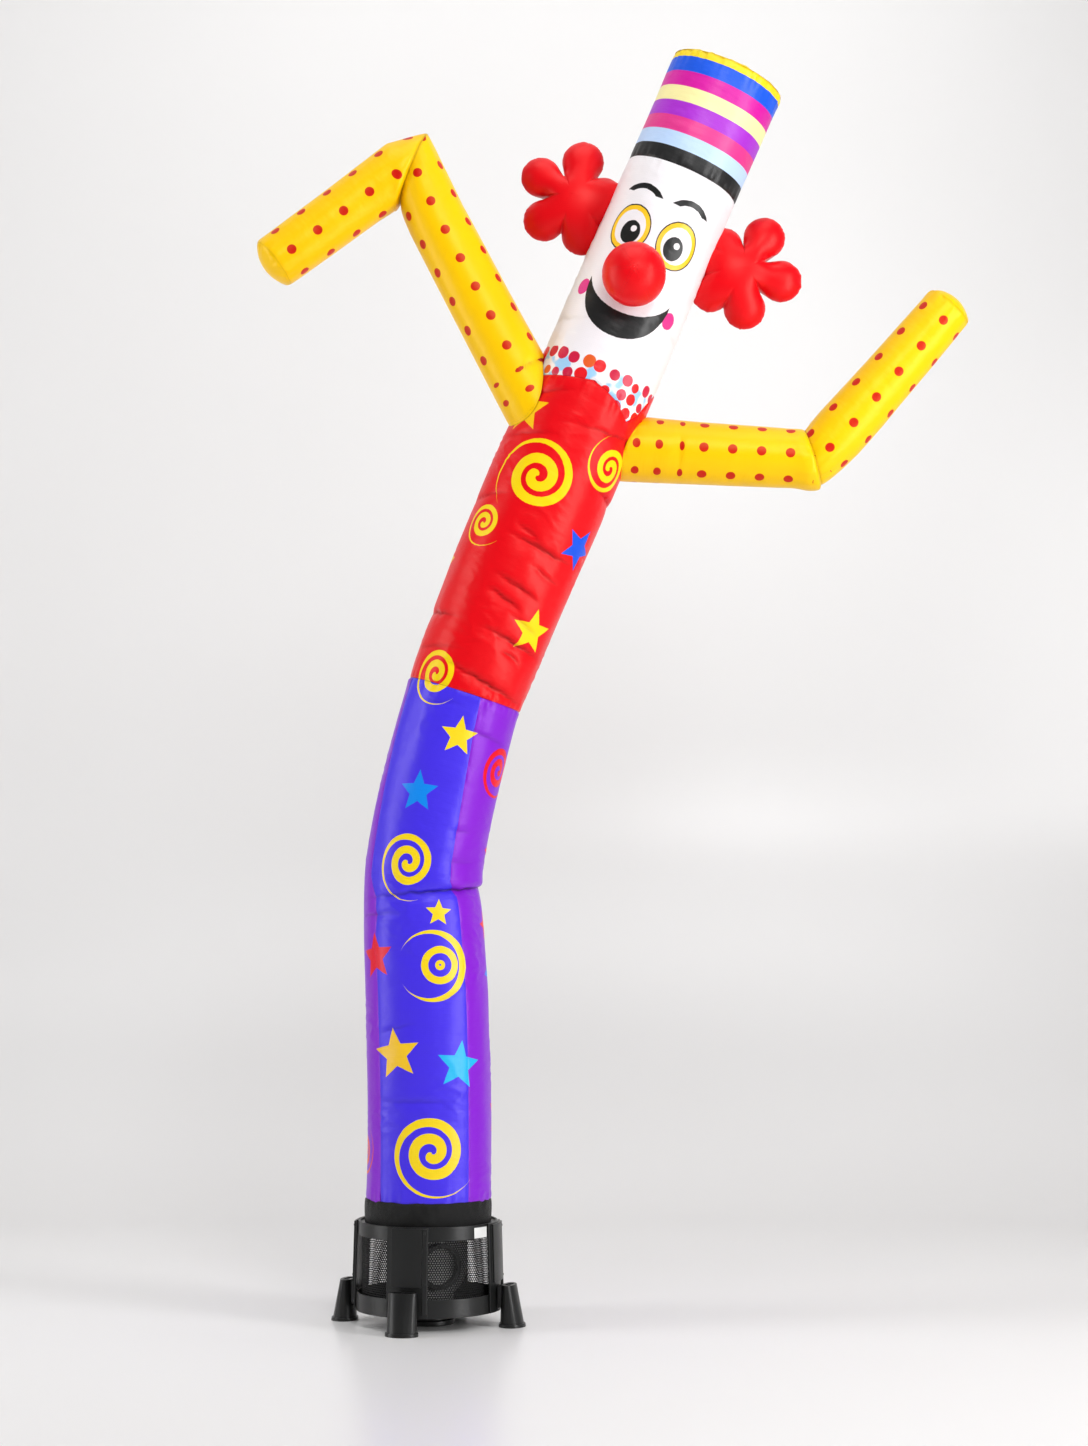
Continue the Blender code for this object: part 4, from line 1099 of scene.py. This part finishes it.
def sleeve(side, table, lap_side, gather, root_crease, *print_grid):
    """A bent tube with a fold across its elbow, where one arm's cloth laps over the other's."""
    rings = sleeve_rings(table)
    shoulder = {}
    spans = [(rings[k + 1][0] - rings[k][0]).length for k in range(len(rings) - 1)]
    starts = [sum(spans[:k]) for k in range(len(spans) + 1)]
    elbow = starts[ELBOW_ROW]
    corner = rings[ELBOW_ROW][0]
    to_shoulder = (rings[0][0] - rings[1][0]).normalized()
    to_hand = (rings[-1][0] - rings[-2][0]).normalized()
    close = [elbow + gap * way for gap in ELBOW_ROWS for way in (-1, 1)]
    rows = sorted(even(0.0, starts[-1], FINE * 0.9) + close + [elbow])
    radius = table[-1][4]
    columns = around(round(2 * math.pi * radius / FINE * 1.15), -270)

    def place(column, run):
        number = max(k for k in range(len(spans)) if starts[k] <= run + 1e-9)
        way = (run - starts[number]) / spans[number]
        angle = math.radians(column)
        if number == 0:
            if column not in shoulder:
                shoulder[column] = shoulder_point(rings, angle)
            start = shoulder[column]
        else:
            start = ring_point(rings[number], angle)
        point = start.lerp(ring_point(rings[number + 1], angle), way)
        middle = rings[number][0].lerp(rings[number + 1][0], way)
        outward = (point - middle).normalized()
        inner = 0.5 - 0.5 * math.cos(angle)
        # Painted shade along the elbow's fold, and below along the root crease
        shaded = ELBOW_SHADE * painted_crease_shade(run - elbow)
        past = (run - elbow) * lap_side
        crease_share = CREASE_OUTER + (1 - CREASE_OUTER) * inner
        shift_out = -ELBOW_CREASE * crease_share * lapped(past, ELBOW_LAP, ELBOW_SPREAD)
        lobe = (past - BULGE_AT) / BULGE_AT
        bulge_share = BULGE_OUTER + (1 - BULGE_OUTER) * inner
        shift_out += ELBOW_BULGE * math.exp(-lobe * lobe * BULGE_SHARP) * bulge_share
        along = (corner - point).dot(to_shoulder) if run < elbow else (point - corner).dot(to_hand)
        fold_at, fold_angle, fold_reach, fold_depth, fold_shade = root_crease
        off = turned(column, fold_angle)
        if abs(off) < fold_reach and run < elbow:
            beyond = along - fold_at
            fade = bell(off, fold_reach)
            shift_out -= fold_depth * lapped(beyond, LAP, ROOT_SPREAD) * fade
            shaded += fold_shade * min(1.0, 2 * fade) * painted_crease_shade(beyond)
        to_end = min(run, starts[-1] - run)
        spot = round_spot(angle, SLEEVE_WIDE, run / SLEEVE_TALL)
        shift_out += SLEEVE_SWELL * noise.noise(spot) + seam_pull(to_end, angle * radius)
        ruck = noise.noise(Vector((angle * 4.0, run / RUCK_TALL, 9.0)))
        shift_out += math.exp(-abs(past) / RUCK_REACH) * RUCK * ruck
        across = math.radians(column + 90) * (table[number][5] * (1 - way) + table[number + 1][5] * way)
        on_print = (across, straight_row(gather, along))
        return point + outward * shift_out, on_print, (1.0, to_end), shaded

    name = f"sleeve_{side}"
    material = sleeve_cloth(name + "_cloth", *print_grid)
    piece = cloth_piece(name + "_cloth", material, "yellow_cloth", name, columns, rows, place)
    mean = sum(row[4] for row in table) / len(table)
    2 * math.pi * mean
    last, before = rings[-1], rings[-2]
    along = last[1].cross(last[2]).normalized()
    if along.dot(last[0] - before[0]) < 0:
        along = -along
    end = name + "_end"
    end_cloth = plain_cloth(end + "_cloth", SLEEVE_YELLOW, YELLOW_GLOSS)
    dome(end + "_cloth", last[0], along, last[1].length, HAND_RISE, end_cloth, "yellow_cloth", end, [name])


# ---- hair puffs and nose ----
def puff_outline(lobes, angle):
    """Reach of a lobed outline at an angle: a core disc joined to round lobes."""
    furthest = PUFF_CORE
    for lobe_angle, reach, radius in lobes:
        off = math.radians(turned(math.degrees(angle), lobe_angle))
        side = reach * math.sin(off)
        if abs(side) < radius and math.cos(off) > 0:
            furthest = max(furthest, reach * math.cos(off) + math.sqrt(radius**2 - side**2))
    return furthest


def notches(lobes, angle, far):
    """How much the face is drawn down in the creases that run in from between the lobes."""
    deep = 0.0
    turns = sorted(lobe[0] for lobe in lobes)
    for first, second in zip(turns, turns[1:] + [turns[0] + 360]):
        if second - first < 30:
            continue
        middle = math.radians((first + second) / 2)
        rim = puff_outline(lobes, middle)
        aside = abs(far * math.sin(angle - middle))
        if math.cos(angle - middle) > 0:
            deep += NOTCH_DEEP * math.exp(-aside / NOTCH_WIDE) * smooth_step((far / rim - 0.5) / 0.5)
    return min(deep, 0.5)


def blown_sheet(lobes):
    """The square of half the thickness of a blown bag of this outline, on a square grid round its middle."""
    steps = round(SHEET_REACH / SHEET_CELL)
    line = np.arange(-steps, steps + 1) * SHEET_CELL
    inside = np.zeros((len(line), len(line)), bool)
    for i, x in enumerate(line):
        for j, y in enumerate(line):
            inside[i, j] = math.hypot(x, y) < SHEET_GROWN * puff_outline(lobes, math.atan2(y, x))
    inside[[0, -1], :] = inside[:, [0, -1]] = False
    odd = np.add.outer(np.arange(len(line)), np.arange(len(line))) % 2 == 1
    height = np.zeros(inside.shape)
    for _ in range(SHEET_ROUNDS):
        for half in (inside & odd, inside & ~odd):
            near = sum(np.roll(height, way, axis) for axis in (0, 1) for way in (1, -1))
            height += half * SHEET_PACE * ((near + SHEET_CELL**2) / 4 - height)
    return height / height.max()


def puff_height(sheet, lobes, angle, far):
    """Half the puff's thickness at a place on its face, drawn in at the rim and in the creases."""
    x = far * math.cos(angle) / SHEET_CELL + (len(sheet) - 1) / 2
    y = far * math.sin(angle) / SHEET_CELL + (len(sheet) - 1) / 2
    i, j = int(x), int(y)
    low = sheet[i, j] * (1 - (x - i)) + sheet[i + 1, j] * (x - i)
    high = sheet[i, j + 1] * (1 - (x - i)) + sheet[i + 1, j + 1] * (x - i)
    thick = PUFF_THICK * math.sqrt(max(0.0, low + (high - low) * (y - j)))
    to_rim = min(1.0, far / puff_outline(lobes, angle))
    return thick * math.sqrt(1 - to_rim**8) * (1 - notches(lobes, angle, far))


def puff(side, middle, lobes, material):
    """Two lobed faces sewn at the rim. Rows run from the front's middle over the rim to the back's."""
    name = f"hair_puff_{side}"
    centre = Vector(middle)
    sheet = blown_sheet(lobes)
    rows = [90 * (1 - k / PUFF_STEPS) for k in range(2 * PUFF_STEPS + 1)]
    rows[0], rows[-1] = NEAR_POLE, -NEAR_POLE

    def place(column, row):
        angle = math.radians(column)
        tilt = math.radians(row)
        reach = puff_outline(lobes, angle)
        far = math.cos(tilt) * reach
        lift = math.copysign(puff_height(sheet, lobes, angle, far), tilt) if abs(row) > 0.01 else 0.0
        to_rim = reach - far
        run = angle * reach
        pucker = noise.noise(Vector((run / 0.011, middle[0] * 9, 2.0)))
        pucker *= 0.0024 * math.exp(-to_rim / 0.012)
        grow = 1 + pucker / 0.05
        flat = Vector((far * math.cos(angle), far * math.sin(angle)))
        point = centre + Vector((flat.x * (1 + pucker / 0.12), -lift * grow, flat.y * (1 + pucker / 0.12)))
        return point, tuple(flat), (1.0, to_rim + abs(lift))

    piece = cloth_piece(name + "_cloth", material, "red_cloth", name, around(PUFF_AROUND), rows, place)


def nose(material):
    """A ball of six gores, sunk a little into the face that it is sewn to."""
    spot = on_body(NOSE_HEIGHT, NOSE_ANGLE)
    middle, _, along, _ = ring_at(NOSE_HEIGHT)
    out = spot - middle
    out = (out - along * out.dot(along)).normalized()
    centre = spot + out * (NOSE_RADIUS - NOSE_SUNK)
    turn = out.to_track_quat("Z", "Y")
    rows = [-90 + 180 * k / NOSE_STEPS for k in range(NOSE_STEPS + 1)]
    rows[0], rows[-1] = -NEAR_POLE, NEAR_POLE

    def place(column, row):
        angle, tilt = math.radians(column), math.radians(row)
        ball = Vector((math.cos(angle) * math.cos(tilt), math.sin(angle) * math.cos(tilt), math.sin(tilt)))
        to_seam = NOSE_RADIUS * math.cos(tilt) * abs(math.sin(3 * angle)) / 3
        pull = -GORE_PULL * math.exp(-to_seam / GORE_REACH) * math.cos(tilt) ** 2
        pull += NOSE_SWELL * noise.noise(ball * 1.6)
        on_print = (angle * NOSE_RADIUS, tilt * NOSE_RADIUS)
        return centre + turn @ (ball * (NOSE_RADIUS + pull)), on_print, (to_seam + 0.002, 1.0)

    columns = around(NOSE_AROUND)
    piece = cloth_piece("nose_ball_cloth", material, "red_cloth", "nose_ball", columns, rows, place)


# ---- the cuff ----
def webbing(name):
    """Black woven webbing: close ribs across, a little shiny."""
    g, across, up = print_graph(name)
    ribs = g.math("SINE", up * (2 * math.pi / 0.0016)) * g.math("SINE", across * (2 * math.pi / 0.0011))
    slow = g.noise(g.vector(across, up), 30.0, 3.0)
    colour = g.mix(slow, (0.005, 0.005, 0.005), (0.010, 0.010, 0.010))
    normal = g.bump(slow, 0.006, 0.6)
    normal = g.bump(ribs, 0.00025, 0.5, normal)
    return g.finish(colour, 0.46, normal, specular_ior_level=0.18)


def cuff():
    rows = even(CUFF_LOW, CUFF_HIGH, 0.003, edges=False)

    def place(angle, height):
        turn = math.radians(angle)
        share = (height - CUFF_LOW) / (CUFF_HIGH - CUFF_LOW)
        run = turn * CUFF_RADIUS
        ruck = noise.noise(Vector((run / 0.022, height / 0.05, 3.0)))
        radius = CUFF_RADIUS + CUFF_RUCK * ruck * share + CUFF_BULGE * math.sin(math.pi * share)
        lift = CUFF_LIFT * noise.noise(Vector((run / 0.035, 0.0, 8.0))) * share
        lip = CUFF_LIP * smooth_step((share - LIP_FROM) / (1 - LIP_FROM))
        return Vector(from_front(turn, radius - lip, height + lift)), (run, height), (1.0, 1.0)

    name = "base_cuff_webbing"
    piece = cloth_piece(name, webbing(name), "black_webbing", "base_cuff", around_body(), rows, place)


# ---- the blower's finishes ----
def moulded(name, base=BLACK_PLASTIC, rough=0.34):
    """Moulded black plastic: fine grain, faint flow marks, and dust near the floor."""
    g = Graph(name)
    x, y, z = g.place()
    spot = g.vector(x, y, z)
    grain = g.noise(spot, 900.0, 2.0)
    slow = g.noise(spot, 18.0, 3.0)
    dust = g.math("SUBTRACT", 1.0, z / 0.09, clamp=True) * g.noise(spot, 60.0, 4.0, 0.7)
    light = tuple(channel * 1.7 for channel in base)
    colour = g.mix(slow * 0.5, base, light)
    colour = g.mix(dust * 0.06, colour, (0.16, 0.15, 0.14))
    normal = g.bump(grain, 0.0003, 0.35)
    return g.finish(colour, slow * 0.14 + (rough - 0.06), normal, specular_ior_level=0.40)


def wire(name):
    """The guards' strands: nearly black and dull."""
    g = Graph(name)
    x, y, z = g.place()
    slow = g.noise(g.vector(x, y, z), 120.0, 2.0)
    colour = g.mix(slow, (0.002, 0.002, 0.002), (0.006, 0.006, 0.006))
    return g.finish(colour, 0.55, specular_ior_level=0.2)


ROUND_EDGE = 0.0017


def rounded(node, material, slot, edge=ROUND_EDGE):
    """A copy of a frame node with its flat faces joined and its edges rounded."""
    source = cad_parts[node]
    source = source if isinstance(source, bpy.types.Object) else bpy.data.objects[node]
    bm = bmesh.new()
    bm.from_mesh(source.data)
    bmesh.ops.remove_doubles(bm, verts=bm.verts, dist=0.00002)
    bmesh.ops.dissolve_limit(bm, angle_limit=math.radians(1.0), verts=bm.verts, edges=bm.edges)
    piece = add_piece(node + "_moulding", smooth_mesh(node + "_moulding", bm), material, slot, node)
    bevel = piece.modifiers.new("Edges", "BEVEL")
    bevel.width = edge
    bevel.segments = 2
    bevel.limit_method = "ANGLE"
    bevel.angle_limit = math.radians(32)
    weight = piece.modifiers.new("Shading", "WEIGHTED_NORMAL")
    weight.keep_sharp = True


HOLE_PITCH, HOLE_SHARE, STRAND_TILT = 0.0062, 0.64, 0.0004


def guard(number, material):
    """A curved sheet of expanded metal: six-sided holes between strands that lean like louvres."""
    node = f"base_guard_{number + 1}"
    low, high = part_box(node)
    facing = math.radians(FIRST_FOOT + QUARTER_TURN * (number + 0.5))
    half = math.radians(GUARD_SPAN / 2) * GUARD_RADIUS
    across_count = int(2 * half / HOLE_PITCH)
    rise = HOLE_PITCH * math.sqrt(3) / 2
    up_count = int((high[2] - low[2]) / rise)
    cell = HOLE_PITCH / math.sqrt(3)
    points, faces = [], []
    for row in range(up_count):
        for column in range(across_count - row % 2):
            middle = (-half + (column + 0.5 + 0.5 * (row % 2)) * HOLE_PITCH, low[2] + (row + 0.5) * rise)
            first = len(points)
            for size in (cell, cell * HOLE_SHARE):
                for corner in range(6):
                    turn = math.radians(60 * corner + 30)
                    run = middle[0] + size * math.cos(turn)
                    angle = facing + run / GUARD_RADIUS
                    height = middle[1] + size * math.sin(turn)
                    reach = GUARD_RADIUS + (STRAND_TILT * math.sin(turn) if size < cell else 0.0)
                    points.append(from_front(angle, reach, height))
            for corner in range(6):
                after = (corner + 1) % 6
                faces.append((first + corner, first + after, first + 6 + after, first + 6 + corner))
    add_piece(node + "_mesh", mesh_of(node + "_mesh", points, faces), material, "guard_mesh", node)


SCREW_RADIUS, SCREW_TALL, SCREW_HEIGHTS = 0.0030, 0.0012, (0.117, 0.236)
RECESS_HALF, RECESS_DEEP = 0.0004, 0.0005
RIB_FOOT, RIB_LEAN, RIB_SUNK, RIB_ASIDE = 0.1864, 0.028, 0.0073, 0.0435  # the rib's face leans in as it rises


def screw(name, facing, height, material):
    """A small domed screw head with a cross recess, on a pillar's rib."""
    face = RIB_FOOT - RIB_LEAN * height
    bm = bmesh.new()
    bmesh.ops.create_uvsphere(bm, u_segments=20, v_segments=10, radius=SCREW_RADIUS)
    for vert in bm.verts:
        vert.co.z *= SCREW_TALL / SCREW_RADIUS
        if min(abs(vert.co.x), abs(vert.co.y)) < RECESS_HALF:
            vert.co.z -= RECESS_DEEP * (vert.co.z > 0)
    turn = math.radians(facing) + RIB_ASIDE / (face - RIB_SUNK)
    out = Vector((math.sin(turn), -math.cos(turn), 0))
    place = Matrix.Translation(out * face + Vector((0, 0, height)))
    bm.transform(place @ out.to_track_quat("Z", "Y").to_matrix().to_4x4())
    add_piece(name, smooth_mesh(name, bm), material, "black_plastic")


def blower():
    plastic = moulded("black_plastic")
    for node in ["base_top_ring", "base_lower_ring", "base_hub"]:
        rounded(node, plastic, "black_plastic")
    for number in range(4):
        rounded(f"base_pillar_{number + 1}", plastic, "black_plastic")
        rounded(f"base_foot_{number + 1}", plastic, "black_plastic", 0.0016)
        for height in SCREW_HEIGHTS:
            name = f"screw_{number + 1}_{round(height * 1000)}"
            screw(name, FIRST_FOOT + QUARTER_TURN * number, height, plastic)
    fan = moulded("fan_plastic", (0.36, 0.36, 0.35), 0.35)
    for node in ("fan_housing", "fan_inlet_ring", "fan_motor"):
        slot = "motor" if node == "fan_motor" else "black_plastic"
        rounded(node, fan if node == "fan_housing" else plastic, slot, 0.0010)
    metal = wire("guard_wire")
    for number in range(4):
        guard(number, metal)
    paper = moulded("label_paper", (0.62, 0.62, 0.61), 0.5)
    rounded("blank_label", paper, "label", 0.0002)


# ---- stage, light and camera ----
FLOOR_REACH, WALL_AT, WALL_TALL, SWEEP, SWEEP_STEPS = 8.0, 3.6, 7.0, 1.6, 12
GLOW_FROM, GLOW_RISE = 4.0, 0.10  # the floor glows from this far out, and by this much more a metre
WORLD_LIGHT, WORLD_SEEN = 0.15, 0.80  # how bright the world is to the scene, and to the camera


def stage():
    """A pale floor that sweeps up into a wall behind. It is clear from its outer side, and far out it glows
    with painted light.
    """
    profile = [(-FLOOR_REACH, 0.0), (WALL_AT - SWEEP, 0.0)]
    for k in range(1, SWEEP_STEPS + 1):
        turn = math.radians(90 * k / SWEEP_STEPS)
        profile.append((WALL_AT - SWEEP + SWEEP * math.sin(turn), SWEEP - SWEEP * math.cos(turn)))
    profile.append((WALL_AT, WALL_TALL))
    points = [(x, y, z) for y, z in profile for x in (-FLOOR_REACH, FLOOR_REACH)]
    faces = [(2 * k, 2 * k + 1, 2 * k + 3, 2 * k + 2) for k in range(len(profile) - 1)]
    mesh = mesh_of("floor", points, faces)
    mesh.shade_smooth()
    g = Graph("floor")
    x, y, z = g.place()
    slow = g.noise(g.vector(x, y, z), 0.7, 1.0)
    colour = g.mix(slow, (0.81, 0.800, 0.796), (0.85, 0.844, 0.840))
    # Painted light: from GLOW_FROM outwards the floor glows, brighter with each metre
    out = g.math("MAXIMUM", g.math("ABSOLUTE", x), y * -1.0)
    glow = g.math("MAXIMUM", (out - GLOW_FROM) * GLOW_RISE, 0.0)
    g.finish(colour, 0.30, emission_color=(1.0, 1.0, 1.0), emission_strength=glow)
    nodes, links = g.material.node_tree.nodes, g.material.node_tree.links
    output = next(node for node in nodes if node.type == "OUTPUT_MATERIAL")
    both = nodes.new("ShaderNodeMixShader")
    links.new(nodes.new("ShaderNodeNewGeometry").outputs["Backfacing"], both.inputs[0])
    links.new(output.inputs[0].links[0].from_socket, both.inputs[1])
    links.new(nodes.new("ShaderNodeBsdfTransparent").outputs[0], both.inputs[2])
    links.new(both.outputs[0], output.inputs[0])
    mesh.materials.append(g.material)
    made = link("floor", mesh)


def area_light(name, place, target, size, power):
    light = bpy.data.lights.new(name, "AREA")
    light.shape = "RECTANGLE"
    light.size, light.size_y = size
    light.energy = power
    made = link(name, light)
    made.location = place
    made.rotation_euler = (Vector(target) - Vector(place)).to_track_quat("-Z", "Y").to_euler()
    made.visible_camera = False


def lights():
    area_light("key", (1.5, -5.4, 5.0), (0.2, 0, 1.5), (2.0, 2.0), 135)
    area_light("left strip", (-3.9, -0.7, 2.2), (0.2, 0, 1.8), (1.3, 4.2), 90)
    area_light("right strip", (3.7, -2.3, 2.0), (0.2, 0, 1.8), (1.2, 4.2), 140)
    area_light("top", (0.4, -1.2, 6.4), (0.3, 0.2, 0), (4.0, 3.0), 94)
    area_light("back", (-0.5, 1.4, 5.4), (-0.5, 3.6, 1.0), (6.0, 1.6), 31)
    world = bpy.data.worlds.new("studio")
    bpy.context.scene.world = world
    world.use_nodes = True
    nodes, links = world.node_tree.nodes, world.node_tree.links
    nodes["Background"].inputs[0].default_value = (1.0, 1.0, 1.0, 1.0)
    strength = nodes.new("ShaderNodeMapRange")
    strength.inputs["To Min"].default_value = WORLD_LIGHT
    strength.inputs["To Max"].default_value = WORLD_SEEN
    links.new(nodes.new("ShaderNodeLightPath").outputs["Is Camera Ray"], strength.inputs["Value"])
    links.new(strength.outputs[0], nodes["Background"].inputs[1])


CAMERA_PLACE, CAMERA_PITCH, CAMERA_LENS = (0.282, -6.9, 1.068), 3.24, 70


def camera():
    """The photograph's view: level with the knee, looking a little up."""
    data = bpy.data.cameras.new("camera")
    data.lens = CAMERA_LENS
    data.sensor_fit = "VERTICAL"
    data.sensor_height = 36
    made = link("camera", data)
    made.location = CAMERA_PLACE
    made.rotation_euler = (math.radians(90 + CAMERA_PITCH), 0, 0)
    bpy.context.scene.camera = made
    bpy.context.scene.view_settings.view_transform = "Standard"


camera()
lights()
stage()
trousers()
body_tubes()
top_middle, _, top_along, top_radius = ring_at(CROWN_HEIGHT)
crown_cloth = plain_cloth("crown_cloth", YELLOW, YELLOW_GLOSS)
crown_place = (top_middle, top_along, top_radius, CROWN_RISE)
dome("crown_cloth", *crown_place, crown_cloth, "yellow_cloth", "crown_disc", ["hat_tube"])
sleeve("left", LEFT_SLEEVE, 1, LEFT_GATHER, LEFT_ROOT_CREASE, *LEFT_GRID)
sleeve("right", RIGHT_SLEEVE, -1, RIGHT_GATHER, RIGHT_ROOT_CREASE, *RIGHT_GRID)
red_cloth = plain_cloth("red_cloth", RED, RED_GLOSS, 0.15)
puff("left", LEFT_PUFF_MIDDLE, LEFT_PUFF_LOBES, red_cloth)
puff("right", RIGHT_PUFF_MIDDLE, RIGHT_PUFF_LOBES, red_cloth)
nose(red_cloth)
cuff()
blower()
